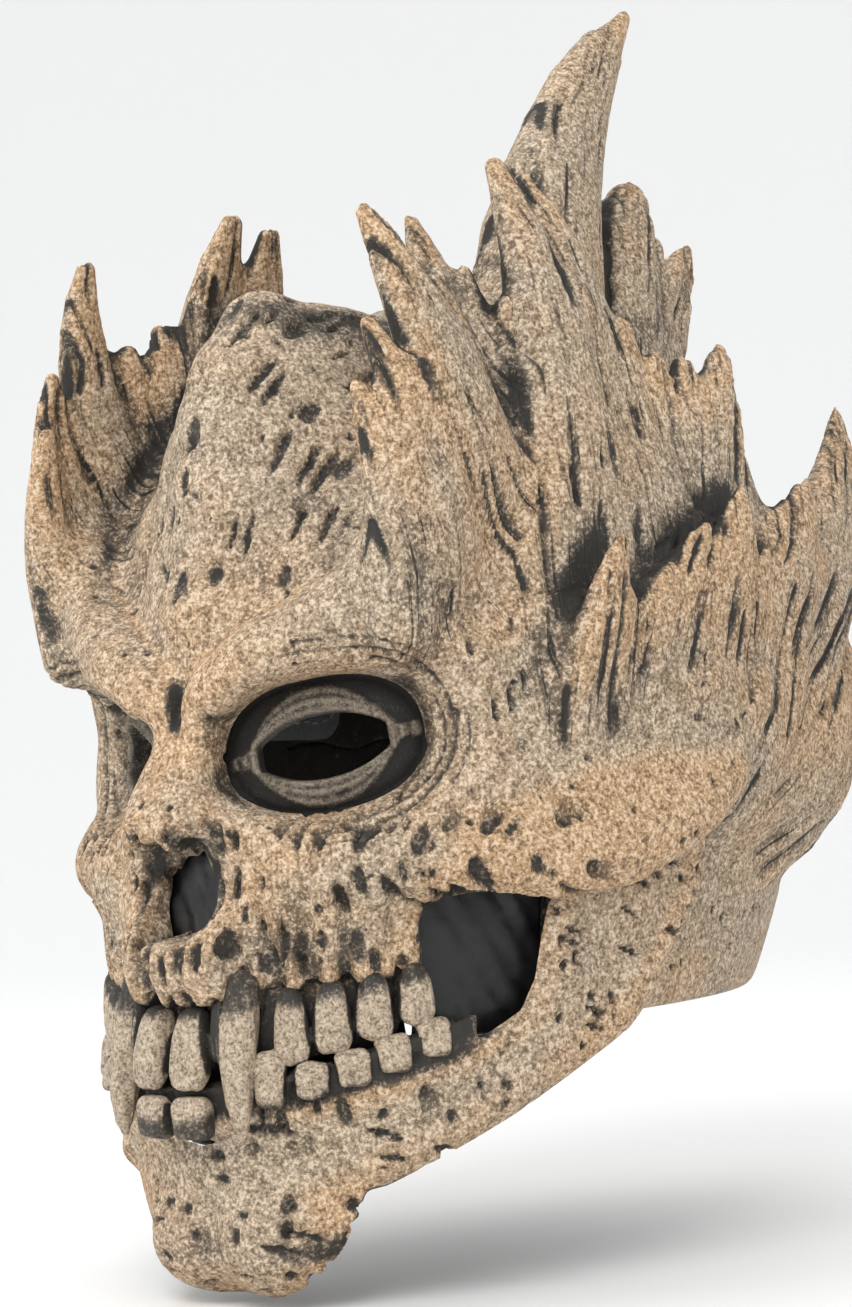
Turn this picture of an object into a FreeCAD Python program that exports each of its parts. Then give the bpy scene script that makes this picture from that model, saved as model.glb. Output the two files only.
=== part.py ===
"""Full-head horned skull mask of cast latex, with a hinged lower jaw.

The mask faces -Y, +Z is up and +X is the wearer's left. The origin is the centre of the head
cavity at the height of the eyes. Every skin of the mask is an offset of one master head surface,
so the shell, the jaw, the cheek arches, the padding and the gauze all follow each other.
All sizes are in millimetres.
"""

import FreeCAD
import Part

import math
import os

from FreeCAD import Vector

# Overall size of the head inside the casting skin.
HEAD_HALF_WIDTH = 80.0
HEAD_HALF_LENGTH = 115.0
CROWN_HEIGHT = 124.0
CHIN_DEPTH = 139.0

# Cast skins.
WALL = 3.0
JAW_GAP = 3.0
ARCH_GAP = 3.0
ARCH_WALL = 3.5

# Openings in the face.
SOCKET_SPACING = 76.0
SOCKET_HALF_WIDTH = 24.0
SOCKET_HALF_HEIGHT = 18.0
SOCKET_HEIGHT = -2.0
SOCKET_TILT = 8.0
EYELID_WALL = 3.0
EYELID_MARGIN = 5.0
EYE_SLIT_HALF_WIDTH = 17.0
EYE_SLIT_HALF_HEIGHT = 9.0
NOSE_HALF_WIDTH = 13.0
NOSE_TOP = -24.0
NOSE_BOTTOM = -52.0

# Jaw hinge: a shouldered post, a spacing washer and a screw on each side.
PIVOT_Y = -16.0
PIVOT_Z = -27.0
BOSS_RADIUS = 8.0
BOSS_LAP = 0.6
BOSS_STAND = 0.6
BOSS_DEPTH = 1.2
POST_RADIUS = 2.5
POST_CLEARANCE = 0.08
POST_HEAD_RADIUS = 6.0
POST_HEAD_HEIGHT = 1.4
WASHER_RADIUS = 6.5
WASHER_PLAY = 0.15
SCREW_RADIUS = 1.5
SCREW_HEAD_RADIUS = 4.5
SCREW_HEAD_HEIGHT = 1.8
SCREW_BORE_DEPTH = 7.0
SCREW_END_ROOM = 0.5
SCREW_SLOT_HALF = 0.5
SCREW_SLOT_DEPTH = 0.7

# Linings.
LINING_GAP = 0.3
PAD_THICKNESS = 9.0
GAUZE_THICKNESS = 0.8

# Jaw closing elastics and their rivets.
ELASTIC_WIDTH = 9.0
ELASTIC_THICKNESS = 1.2
RIVET_RADIUS = 2.0
RIVET_CLEARANCE = 0.1
RIVET_HEAD_RADIUS = 3.6
RIVET_HEAD_HEIGHT = 0.7
RIVET_BORE_REACH = 14.0
RIVET_SEAT_GAP = 0.5
RIM_POINTS = 36
SKULL_RIVET = (-54.0, -25.5)
JAW_RIVET = (-52.0, -60.0)
CHIN_PAD_THICKNESS = 8.0

# Teeth.
BITE_GAP = 0.8
TOOTH_THICKNESS = 8.0
TOOTH_TAPER = 0.8
ROOT_DEPTH = 2.0

DESIGN_HEAD = (80.0, 115.0, 124.0, 139.0)
SIDES = {"left": 1.0, "right": -1.0}
FAR = 400.0
BACK_EXPONENT = 2.15
SECTION_POINTS = 24

# Master head surface: height, half width, front, back, widest place, front roundness.
HEAD_SECTIONS = (
    (-139.0, 20.0, -97.0, -52.0, -76.0, 2.0),
    (-133.0, 34.0, -104.0, -38.0, -74.0, 2.0),
    (-122.0, 46.0, -108.0, -5.0, -70.0, 1.9),
    (-107.0, 57.0, -109.0, 45.0, -60.0, 1.8),
    (-92.0, 65.0, -117.0, 80.0, -48.0, 1.75),
    (-75.0, 73.0, -124.0, 97.0, -35.0, 1.75),
    (-50.0, 78.0, -119.0, 106.0, -20.0, 1.8),
    (-25.0, 80.0, -115.0, 112.0, -10.0, 1.9),
    (0.0, 80.0, -112.0, 115.0, -5.0, 2.0),
    (30.0, 80.0, -112.0, 115.0, 0.0, 2.1),
    (60.0, 77.0, -105.0, 106.0, 0.0, 2.1),
    (88.0, 66.0, -85.0, 88.0, 0.0, 2.1),
    (108.0, 48.0, -58.0, 62.0, 0.0, 2.05),
    (120.0, 26.0, -31.0, 34.0, 0.0, 2.0),
    (124.0, 8.0, -9.0, 10.0, 0.0, 2.0),
)

# Side outlines, in Y and Z.
SKULL_OUTLINE = (
    (-200, -71), (-140, -71), (-90, -61), (-87, -60), (-86, -44), (-60, -30), (-42, -34), (-36, -60),
    (-32, -70), (-22, -76), (90, -76), (125, -66), (200, -60), (200, 200), (-200, 200),
)
JAW_OUTLINE = (
    (-200, -101), (-140, -101), (-92, -84), (-84, -79), (-76, -77), (-68, -72), (-64, -64), (-62, -54),
    (-60, -46), (-54, -37), (-40, -28), (-30, -24), (-24, -19), (-10, -19), (-6, -27), (-8, -44),
    (-19, -58), (-26, -68), (-31, -77), (-66, -97), (-97, -116), (-104, -200), (-200, -200),
)
ARCH_OUTLINE = (
    (-101, -30), (-90, -43), (-78, -47), (-62, -45), (-44, -40), (-26, -37), (-6, -37), (-1, -28),
    (-3, -15), (-10, -7), (-60, -5), (-86, -7), (-97, -14),
)
ARCH_POCKET_OUTLINE = ((-86, -60), (-86, -33), (-80, -26), (-62, -19), (-30, -13), (20, -13), (20, -60))
CHEEK_GAUZE_OUTLINE = (
    (-99, -56), (-99, -40), (-86, -36), (-63, -23), (-61, -29), (-56, -40), (-56, -82), (-78, -82), (-78, -56),
)
# Linings: lowest and highest x, y and z of each block that a pad is cut from.
FOREHEAD_PAD = (-45, 45, -200, -30, 38, 70)
CROWN_PAD = (-32, 32, -34, 40, 60, 200)
NAPE_PAD = (-40, 40, 60, 200, -58, -12)
TEMPLE_PAD = (40, 200, -28, 26, 0, 52)
CHIN_CUP = (-30, 30, -200, -84, -128, -104)
NOSE_GAUZE = (-17, 17, -200, -60, -58, -23)

# Feet of the flame crests, in Y and Z.
UPPER_FOOT = (
    (-104, 22), (-78, 22), (-50, 30), (-10, 34), (26, 38), (46, 52), (44, 74), (14, 84), (-20, 92),
    (-50, 90), (-72, 74), (-92, 50),
)
MIDDLE_FOOT = (
    (-62, 4), (-30, -2), (10, -3), (46, 2), (84, 8), (112, 26), (108, 46), (70, 46), (40, 34),
    (10, 27), (-20, 24), (-56, 22),
)
LOWER_FOOT = (
    (-34, -3), (2, -3), (5, -24), (20, -27), (70, -29), (108, -24), (124, -8), (112, 12), (60, 6),
    (10, 4), (-30, 4),
)

# Flames: root, bend and tip, then the half sizes of the root along and across the crest.
UPPER_FLAMES = (
    ((61, -96, 28), (68, -103, 60), (57, -108, 87), 13, 10),
    ((64, -84, 48), (70, -98, 75), (58, -104, 103), 12, 9),
    ((62, -66, 66), (68, -88, 100), (52, -95, 133), 17, 11),
    ((52, -48, 80), (50, -62, 112), (36, -58, 138), 14, 10),
    ((66, -34, 52), (70, -38, 108), (50, -37, 152), 20, 14),
    ((62, -14, 60), (66, -18, 110), (48, -22, 151), 19, 14),
    ((62, 22, 52), (76, 24, 82), (71, 34, 107), 22, 13),
)
MIDDLE_FLAMES = (
    ((76, -48, 8), (90, -50, 28), (92, -45, 48), 14, 9),
    ((76, -22, 6), (88, -18, 34), (88, 0, 54), 18, 9),
    ((75, 6, 8), (90, 8, 40), (88, 16, 63), 20, 10),
    ((68, 50, 18), (76, 92, 52), (55, 121, 96), 30, 14),
    ((50, 78, 18), (50, 116, 50), (35, 148, 84), 24, 12),
)
LOWER_FLAMES = (
    ((79, -26, 3), (86, -18, 6), (88, 0, 12), 6, 5),
    ((76, 6, -16), (87, 16, -4), (82, 47, 17), 22, 9),
    ((70, 42, -18), (80, 76, -6), (70, 92, 14), 24, 9),
    ((58, 76, -20), (62, 108, 0), (50, 126, 28), 22, 10),
)
REAR_FLAMES = (
    ((8, 20, 84), (6, 22, 160), (14, 74, 220), 34, 26),
    ((-4, 60, 78), (4, 88, 130), (5, 92, 158), 26, 24),
    ((-12, 76, 70), (-14, 116, 122), (-10, 138, 160), 26, 20),
)
FLAME_TIP_RADIUS = 1.6
UPPER_FOOT_THICKNESS = 5.0
MIDDLE_FOOT_THICKNESS = 7.0
LOWER_FOOT_THICKNESS = 6.0
GLUE_LINE = 0.05
FLAME_TAPER = ((0.0, 1.0), (0.35, 0.82), (0.7, 0.42), (1.0, 0.0))

# Raised ridges of the face: stations of x, y, z, half depth and half height.
BROW = (
    (10, -108, 14, 9, 8), (27, -109, 23, 9, 8), (43, -103, 28, 9, 9), (57, -91, 28, 9, 9),
    (68, -78, 16, 8, 8),
)
CHEEKBONE = (
    (26, -113, -40, 7, 8), (38, -108, -32, 8, 8), (54, -98, -29, 9, 8), (70, -82, -28, 9, 7),
)
BRIDGE = ((0, -108, 22, 8, 14), (0, -112, 8, 8, 10), (0, -116, -6, 9, 11), (0, -124, -24, 11, 14))

# Teeth: half widths and places, counted from the middle of the mouth.
UPPER_GUM = ((-140.0, -71.0), (-90.0, -61.0))
LOWER_GUM = ((-140.0, -101.0), (-92.0, -84.0))
BITE_LINE = ((-124.0, -88.0), (-92.0, -76.0))
UPPER_INCISORS = (7.0,)
UPPER_INCISOR_HALF = 5.8
UPPER_FANG_PLACE = 19.0
UPPER_FANG_HALF = 4.6
UPPER_FANG_TIP_HALF = 1.1
UPPER_FANG_TIP = -99.0
UPPER_FANG_LEAN = 3.0
FANG_CLEARANCE = 0.6
FANG_NOTCH_ANGLES = (0.0, 0.7, 1.4, 2.1, 2.8, 3.5, 4.2)
UPPER_MOLARS = (28.0, 35.5, 42.5, 48.5)
UPPER_MOLAR_HALF = 3.6
LOWER_INCISORS = (6.5,)
LOWER_INCISOR_HALF = 5.6
LOWER_MOLARS = (27.5, 36.0, 44.5, 52.5, 59.5)
LOWER_MOLAR_HALF = 3.6

NAMED_SHAPES = {}


def fitted(x, y, z):
    """A point of the design head, moved to where it lies on a head of the size set above."""
    width, length, crown, chin = DESIGN_HEAD
    height = CROWN_HEIGHT / crown if z > 0 else CHIN_DEPTH / chin
    return Vector(x * HEAD_HALF_WIDTH / width, y * HEAD_HALF_LENGTH / length, z * height)


def closed_curve(points):
    """One smooth closed wire through points, its knots evenly spread so that lofts stay light."""
    curve = Part.BSplineCurve()
    knots = [i / len(points) for i in range(len(points) + 1)]
    curve.interpolate(Points=points, PeriodicFlag=True, Parameters=knots)
    return Part.Wire(curve.toShape())


def head_section(row, inset):
    """Size of one master section, pulled in by inset (or pushed out where it is negative)."""
    height, half_width, front, back, widest, roundness = row
    low, high = fitted(half_width, front, height), fitted(half_width, back, height)
    full = CROWN_HEIGHT if height > 0 else CHIN_DEPTH
    z = low.z * (full - inset) / full
    middle = fitted(0, widest, height).y
    spare = 0.9
    inset = min(inset, low.x * spare)
    return z, low.x - inset, low.y + inset, high.y - inset, middle, roundness


def section_point(section, turn):
    """Point at angle turn round a section, counted from the front towards the left."""
    z, half_width, front, back, middle, roundness = section
    side, ahead = math.sin(turn), math.cos(turn)
    power = 2.0 / (roundness if ahead > 0 else BACK_EXPONENT)
    reach = middle - front if ahead > 0 else back - middle
    x = half_width * math.copysign(abs(side) ** power, side)
    y = middle - reach * math.copysign(abs(ahead) ** power, ahead)
    return Vector(x, y, z)


def head_solid(inset):
    """The solid inside the master surface, pulled in by inset all round."""
    if inset not in NAMED_SHAPES:
        wires = []
        for row in HEAD_SECTIONS:
            section = head_section(row, inset)
            turns = [math.pi + 2 * math.pi * (i + 0.5) / SECTION_POINTS for i in range(SECTION_POINTS)]
            wires.append(closed_curve([section_point(section, turn) for turn in turns]))
        NAMED_SHAPES[inset] = Part.makeLoft(wires, True, False)
    return NAMED_SHAPES[inset]


def blended_section(z, inset):
    """A section between the named ones, at height z."""
    sections = [head_section(row, inset) for row in HEAD_SECTIONS]
    for low, high in zip(sections, sections[1:]):
        if low[0] <= z <= high[0]:
            share = (z - low[0]) / (high[0] - low[0])
            return tuple(a + (b - a) * share for a, b in zip(low, high))
    return sections[-1] if z > 0 else sections[0]


def side_x(y, z, inset):
    """How far out the skin stands on the left side, at y and z."""
    section = blended_section(z, inset)
    low, high = 0.0, math.pi
    for _ in range(40):
        turn = (low + high) / 2
        if section_point(section, turn).y < y:
            low = turn
        else:
            high = turn
    return section_point(section, low).x


def side_prism(outline, x_from=-FAR, x_to=FAR):
    """A block with a side outline given in Y and Z."""
    points = [fitted(0, y, z) for y, z in outline]
    points = [Vector(x_from, p.y, p.z) for p in points]
    face = Part.Face(Part.makePolygon(points + points[:1]))
    return face.extrude(Vector(x_to - x_from, 0, 0))


def half_space():
    """Everything on the left of the middle plane."""
    return Part.makeBox(FAR, 2 * FAR, 2 * FAR, Vector(0, -FAR, -FAR))


def skin(outer, inner, region):
    """The layer between two insets of the head, kept inside region."""
    return head_solid(outer).common(region).cut(head_solid(inner))


def mirrored(shape):
    """The same shape on the other side of the head."""
    return shape.mirror(Vector(0, 0, 0), Vector(1, 0, 0))


def on_side(shape, side):
    """A shape made for the left side, on the side asked for."""
    return shape if SIDES[side] > 0 else mirrored(shape)


def rod(radius, x_from, x_to, y, z):
    """A round bar along X."""
    return Part.makeCylinder(radius, x_to - x_from, Vector(x_from, y, z), Vector(1, 0, 0))


def oval_bar(half_width, half_height, x, z, y_from, y_to, roll=0.0):
    """A bar of oval section along Y."""
    curve = Part.Ellipse(Vector(0, 0, 0), half_width, half_height).toShape()
    face = Part.Face(Part.Wire(curve))
    face.rotate(Vector(0, 0, 0), Vector(0, 0, 1), roll)
    face.rotate(Vector(0, 0, 0), Vector(1, 0, 0), 90)
    face.translate(Vector(x, y_to, z))
    return face.extrude(Vector(0, y_from - y_to, 0))


def oval_wire(centre, normal, wide, half_wide, half_thick):
    """An oval wire square to normal, its longer way along wide."""
    across = normal.cross(wide).normalize()
    along = across.cross(normal).normalize()
    points = []
    count = 10
    for i in range(count):
        turn = 2 * math.pi * i / count
        points.append(centre + along * (half_wide * math.cos(turn)) + across * (half_thick * math.sin(turn)))
    return closed_curve(points)


# ---------------------------------------------------------------- pivot stack
def pivot_faces():
    """X of the inner and outer faces of the skull boss and of the jaw boss, on the left."""
    centre = fitted(0, PIVOT_Y, PIVOT_Z)
    skull_outer = side_x(centre.y, centre.z, 0) + BOSS_STAND
    skull_inner = skull_outer - WALL - BOSS_DEPTH
    jaw_inner = skull_outer + JAW_GAP
    jaw_outer = jaw_inner + WALL
    return centre, skull_inner, skull_outer, jaw_inner, jaw_outer


def flat_boss(shell, x_from, x_to, clear_from, clear_to):
    """The left half of a shell with a flat round boss round the pivot."""
    centre = fitted(0, PIVOT_Y, PIVOT_Z)
    room = rod(BOSS_RADIUS - BOSS_LAP, clear_from, clear_to, centre.y, centre.z)
    boss = rod(BOSS_RADIUS, x_from, x_to, centre.y, centre.z)
    return shell.cut(room).fuse(boss)


# ---------------------------------------------------------------- cast skins
def bent_bar(stations):
    """A smooth bar through stations of x, y, z, half width and half height."""
    spots = [fitted(*row[:3]) for row in stations]
    wires = []
    for i, row in enumerate(stations):
        heading = spots[min(i + 1, len(spots) - 1)] - spots[max(i - 1, 0)]
        heading.normalize()
        wires.append(oval_wire(spots[i], heading, Vector(0, 1, 0), row[3], row[4]))
    return Part.makeLoft(wires, True, False)


def face_ridges():
    """The nasal bridge, and the brow ridge and cheekbone of the left side."""
    return [bent_bar(BRIDGE), bent_bar(BROW), bent_bar(CHEEKBONE)]


def cheek_arch():
    """The left cheek arch, with the pocket that the ramus of the jaw runs in."""
    inner = -(JAW_GAP + WALL + ARCH_GAP)
    block = head_solid(inner - ARCH_WALL).common(side_prism(ARCH_OUTLINE, 20, FAR))
    pocket = head_solid(inner).common(side_prism(ARCH_POCKET_OUTLINE, 20, FAR))
    return block.cut(pocket)


def both_halves(left_half):
    """A left half and its mirror image, joined on the middle plane."""
    return left_half.fuse(mirrored(left_half))


def skull_shell():
    """Cranium, face and nape as one cast skin, with the cheek arches that cover the jaw hinge."""
    half = head_solid(0).common(side_prism(SKULL_OUTLINE, 0, FAR))
    for piece in [cheek_arch()] + face_ridges():
        half = half.fuse(piece)
    half = half.common(half_space()).cut(head_solid(WALL))
    socket = oval_bar(
        SOCKET_HALF_WIDTH, SOCKET_HALF_HEIGHT, SOCKET_SPACING / 2, SOCKET_HEIGHT, -FAR, 0, SOCKET_TILT,
    )
    half = half.cut([socket, nose_hole()])
    centre, skull_inner, skull_outer, jaw_inner, jaw_outer = pivot_faces()
    half = flat_boss(half, skull_inner, skull_outer, skull_inner - WALL, jaw_outer + ARCH_GAP / 3)
    half = half.cut([pivot_bore(skull_inner, skull_outer), rivet_bore(*SKULL_RIVET)])
    return both_halves(half)


def pivot_bore(x_from, x_to):
    """The running hole of the left jaw post."""
    centre = fitted(0, PIVOT_Y, PIVOT_Z)
    return rod(POST_RADIUS + POST_CLEARANCE, x_from - 2, x_to + 2, centre.y, centre.z)


def nose_hole():
    """The pear-shaped opening of the nose."""
    height = (NOSE_TOP - NOSE_BOTTOM) / 2
    middle = (NOSE_TOP + NOSE_BOTTOM) / 2
    return oval_bar(height, NOSE_HALF_WIDTH, 0, middle, -FAR, 0, 90)


def jaw_shell():
    """The mandible as its own cast skin, lapping over the sides of the skull."""
    half = skin(-(JAW_GAP + WALL), -JAW_GAP, side_prism(JAW_OUTLINE, 0, FAR))
    half = half.cut(fang_notch())
    centre, skull_inner, skull_outer, jaw_inner, jaw_outer = pivot_faces()
    half = flat_boss(half, jaw_inner, jaw_outer, skull_outer - WALL / 3, jaw_outer + WALL + ARCH_GAP / 3)
    half = half.cut([pivot_bore(jaw_inner, jaw_outer), rivet_bore(*JAW_RIVET)])
    return both_halves(half)


# ---------------------------------------------------------------- flames
def flame(root, bend, tip, half_along, half_across):
    """One tapering flame, curved from root to tip."""
    start, middle, end = (fitted(*place) for place in (root, bend, tip))
    wires = []
    for share, size in FLAME_TAPER:
        spot = start * (1 - share) ** 2 + middle * (2 * share * (1 - share)) + end * share ** 2
        heading = ((middle - start) * (1 - share) + (end - middle) * share).normalize()
        along = FLAME_TIP_RADIUS + (half_along - FLAME_TIP_RADIUS) * size
        across = FLAME_TIP_RADIUS + (half_across - FLAME_TIP_RADIUS) * size
        wires.append(oval_wire(spot, heading, heading.cross(Vector(1, 0, 0)), along, across))
    return Part.makeLoft(wires, True, False)


def crest(flames, foot=None, thickness=0.0, neighbours=()):
    """A bank of flames on one foot, trimmed to sit on the head and on its neighbours."""
    bank = [flame(*row) for row in flames]
    if foot:
        bank.append(head_solid(-thickness).common(side_prism(foot, 20, FAR)))
    whole = bank[0].fuse(bank[1:]).cut([head_solid(-GLUE_LINE)] + list(neighbours))
    return max(whole.Solids, key=lambda solid: solid.Volume)


def crests():
    """The rear crest, and the upper, middle and lower crests of the left side."""
    rear = crest(REAR_FLAMES)
    behind = [rear, mirrored(rear)]
    middle = crest(MIDDLE_FLAMES, MIDDLE_FOOT, MIDDLE_FOOT_THICKNESS, behind)
    upper = crest(UPPER_FLAMES, UPPER_FOOT, UPPER_FOOT_THICKNESS, behind + [middle] + face_ridges()[1:])
    lower = crest(LOWER_FLAMES, LOWER_FOOT, LOWER_FOOT_THICKNESS, [middle])
    return {"rear_crest": rear, "upper_crest": upper, "middle_crest": middle, "lower_crest": lower}


# ---------------------------------------------------------------- teeth
def line_z(line, y):
    """Height of a straight side line at y."""
    (y0, z0), (y1, z1) = line
    return z0 + (z1 - z0) * (y - y0) / (y1 - y0)


def gum_turn(x, inset):
    """The angle round the gum at which its skin is x from the middle of the mouth."""
    section = blended_section(fitted(0, 0, -80).z, inset)
    share = min(1.0, x / section[1])
    return math.asin(share ** (section[5] / 2.0))


def tooth(place, inset, top, bottom, top_half, bottom_half, lean=0.0, swell=0.0):
    """One tooth between two heights, standing on the gum at a place along the mouth."""
    section = blended_section((top + bottom) / 2, inset)
    turn = gum_turn(place, inset)
    step = 0.02
    spot = section_point(section, turn)
    along = section_point(section, turn + step) - section_point(section, turn - step)
    outward = Vector(along.y, -along.x, 0).normalize()
    half_depth = TOOTH_THICKNESS / 2
    wires = []
    for share in (0.0, 0.5, 1.0):
        centre = Vector(spot.x, spot.y, top + (bottom - top) * share) + outward * (lean * share)
        half = top_half + (bottom_half - top_half) * share
        depth = half_depth * half / max(top_half, bottom_half)
        wires.append(oval_wire(centre, Vector(0, 0, -1), along, half + swell, depth + swell))
    return Part.makeLoft(wires, True, False)


def upper_fang(side, swell=0.0):
    """The long upper fang of one side, swelled where it has to be cleared."""
    inset = WALL / 2
    top = fitted(0, 0, line_z(UPPER_GUM, -120) + ROOT_DEPTH).z
    bottom = fitted(0, 0, UPPER_FANG_TIP).z - swell
    whole = tooth(
        UPPER_FANG_PLACE, inset, top, bottom, UPPER_FANG_HALF, UPPER_FANG_TIP_HALF, UPPER_FANG_LEAN, swell,
    )
    return on_side(whole, side)


def fang_notch():
    """The room that the left upper fang needs in the jaw, over the jaw's first degrees of travel."""
    hinge = fitted(0, PIVOT_Y, PIVOT_Z)
    rooms = []
    for angle in FANG_NOTCH_ANGLES:
        room = upper_fang("left", FANG_CLEARANCE)
        room.rotate(hinge, Vector(1, 0, 0), -angle)
        rooms.append(room)
    return rooms


def short_tooth(place, half, upper, side):
    """An incisor or cheek tooth from its gum to the bite line."""
    inset = WALL / 2 if upper else -(JAW_GAP + WALL / 2)
    section = blended_section(fitted(0, 0, -80).z, inset)
    y = section_point(section, gum_turn(place, inset)).y * DESIGN_HEAD[1] / HEAD_HALF_LENGTH
    bite = fitted(0, 0, line_z(BITE_LINE, y)).z
    if upper:
        root = fitted(0, 0, line_z(UPPER_GUM, y) + ROOT_DEPTH).z
        whole = tooth(place, inset, root, bite + BITE_GAP / 2, half, half * TOOTH_TAPER)
    else:
        root = fitted(0, 0, line_z(LOWER_GUM, y) - ROOT_DEPTH).z
        whole = tooth(place, inset, bite - BITE_GAP / 2, root, half * TOOTH_TAPER, half)
    return on_side(whole, side)


def row_of_teeth(places, half, upper, sides, casting):
    """Teeth at the places given, trimmed to the casting they stand on."""
    row = [short_tooth(place, half, upper, side).cut(casting) for place in places for side in sides]
    solids = [max(one.Solids, key=lambda solid: solid.Volume) for one in row]
    return Part.makeCompound(solids)


# ---------------------------------------------------------------- linings
def wedge(x_from, x_to, y_from, y_to, z_from, z_to):
    """A box between two corners of the design head."""
    low, high = fitted(x_from, y_from, z_from), fitted(x_to, y_to, z_to)
    return Part.makeBox(high.x - low.x, high.y - low.y, high.z - low.z, low)


def pad(region):
    """A foam pad glued to the inside of the skull shell."""
    outer = WALL + LINING_GAP
    return skin(outer, outer + PAD_THICKNESS, region)


def eyelid(side):
    """The lid ring that stands behind one socket, with its almond slit."""
    x = SIDES[side] * SOCKET_SPACING / 2
    tilt = SIDES[side] * SOCKET_TILT
    half_width, half_height = SOCKET_HALF_WIDTH + EYELID_MARGIN, SOCKET_HALF_HEIGHT + EYELID_MARGIN
    plug = oval_bar(half_width, half_height, x, SOCKET_HEIGHT, -FAR, 0, tilt)
    slit = oval_bar(EYE_SLIT_HALF_WIDTH, EYE_SLIT_HALF_HEIGHT, x, SOCKET_HEIGHT, -FAR, 0, tilt)
    outer = WALL + LINING_GAP
    return skin(outer, outer + EYELID_WALL, plug).cut(slit)


def nose_gauze():
    """Black gauze behind the nose opening."""
    outer = WALL + LINING_GAP
    return skin(outer, outer + GAUZE_THICKNESS, wedge(*NOSE_GAUZE))


def cheek_gauze(side):
    """Black gauze behind one cheek opening, glued inside the skull shell."""
    outer = WALL + LINING_GAP
    sheet = skin(outer, outer + GAUZE_THICKNESS, side_prism(CHEEK_GAUZE_OUTLINE, 20, FAR))
    return on_side(sheet, side)


def chin_cup():
    """The foam cup that carries the jaw on the wearer's chin."""
    outer = LINING_GAP - JAW_GAP
    return skin(outer, outer + CHIN_PAD_THICKNESS, wedge(*CHIN_CUP))


def rivet_seats(place, inner, outer):
    """X of the two faces under a rivet's heads, clear of curved skins at both insets."""
    centre = fitted(0, *place)
    rim = []
    for turn in range(RIM_POINTS):
        angle = 2 * math.pi * turn / RIM_POINTS
        across, up = RIVET_HEAD_RADIUS * math.cos(angle), RIVET_HEAD_RADIUS * math.sin(angle)
        rim.append((centre.y + across, centre.z + up))
    low = min(side_x(y, z, inner) for y, z in rim)
    high = max(side_x(y, z, outer) for y, z in rim)
    return low - RIVET_SEAT_GAP, high + RIVET_SEAT_GAP


def rivet_bore(y, z):
    """The rivet hole through the left side of a skin."""
    centre = fitted(0, y, z)
    reach = side_x(centre.y, centre.z, 0)
    x_from, x_to = reach - RIVET_BORE_REACH, reach + RIVET_BORE_REACH
    return rod(RIVET_RADIUS + RIVET_CLEARANCE, x_from, x_to, centre.y, centre.z)


def elastic_face():
    """Inset of the elastic's outer face, midway between skull and jaw."""
    return -(JAW_GAP + ELASTIC_THICKNESS) / 2


def closing_elastic(side):
    """The flat elastic that pulls the jaw shut, lying between skull and jaw."""
    (y0, z0), (y1, z1) = SKULL_RIVET, JAW_RIVET
    upper, lower = fitted(0, y0, z0), fitted(0, y1, z1)
    run = (lower - upper).normalize()
    across = Vector(0, -run.z, run.y) * (ELASTIC_WIDTH / 2)
    ends = run * (ELASTIC_WIDTH / 2)
    corners = [upper - ends + across, lower + ends + across, lower + ends - across, upper - ends - across]
    points = [Vector(20, corner.y, corner.z) for corner in corners]
    strip = Part.Face(Part.makePolygon(points + points[:1])).extrude(Vector(FAR, 0, 0))
    band = skin(elastic_face(), elastic_face() + ELASTIC_THICKNESS, strip)
    holes = [rod(RIVET_RADIUS + RIVET_CLEARANCE, 20, 160, end.y, end.z) for end in (upper, lower)]
    return on_side(band.cut(holes), side)


# ---------------------------------------------------------------- hardware
def rivet(place, inner, outer, side):
    """A double-headed rivet through an elastic and the skin it is fixed to."""
    centre = fitted(0, *place)
    x_inner, x_outer = rivet_seats(place, inner, outer)
    shank = rod(RIVET_RADIUS, x_inner, x_outer, centre.y, centre.z)
    low = rod(RIVET_HEAD_RADIUS, x_inner - RIVET_HEAD_HEIGHT, x_inner, centre.y, centre.z)
    high = rod(RIVET_HEAD_RADIUS, x_outer, x_outer + RIVET_HEAD_HEIGHT, centre.y, centre.z)
    return on_side(shank.fuse([low, high]), side)


def pivot_post(side):
    """The shouldered post that the jaw turns on, with its threaded bore."""
    centre, skull_inner, skull_outer, jaw_inner, jaw_outer = pivot_faces()
    head_from = jaw_outer + WASHER_PLAY
    shank = rod(POST_RADIUS, skull_inner, head_from, centre.y, centre.z)
    head = rod(POST_HEAD_RADIUS, head_from, head_from + POST_HEAD_HEIGHT, centre.y, centre.z)
    bore = rod(SCREW_RADIUS, skull_inner, skull_inner + SCREW_BORE_DEPTH, centre.y, centre.z)
    return on_side(shank.fuse(head).cut(bore), side)


def pivot_washer(side):
    """The washer that keeps the jaw off the skull."""
    centre, skull_inner, skull_outer, jaw_inner, jaw_outer = pivot_faces()
    disc = rod(WASHER_RADIUS, skull_outer, jaw_inner - WASHER_PLAY, centre.y, centre.z)
    bore = rod(POST_RADIUS + POST_CLEARANCE, skull_outer - 1, jaw_inner + 1, centre.y, centre.z)
    return on_side(disc.cut(bore), side)


def pivot_screw(side):
    """The screw that closes the post from inside the head."""
    centre, skull_inner, skull_outer, jaw_inner, jaw_outer = pivot_faces()
    head = rod(SCREW_HEAD_RADIUS, skull_inner - SCREW_HEAD_HEIGHT, skull_inner, centre.y, centre.z)
    shank = rod(SCREW_RADIUS, skull_inner, skull_inner + SCREW_BORE_DEPTH - SCREW_END_ROOM, centre.y, centre.z)
    slot = Part.makeBox(
        SCREW_SLOT_DEPTH, SCREW_HEAD_RADIUS * 2, SCREW_SLOT_HALF * 2,
        Vector(skull_inner - SCREW_HEAD_HEIGHT, centre.y - SCREW_HEAD_RADIUS, centre.z - SCREW_SLOT_HALF),
    )
    return on_side(head.fuse(shank).cut(slot), side)


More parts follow.
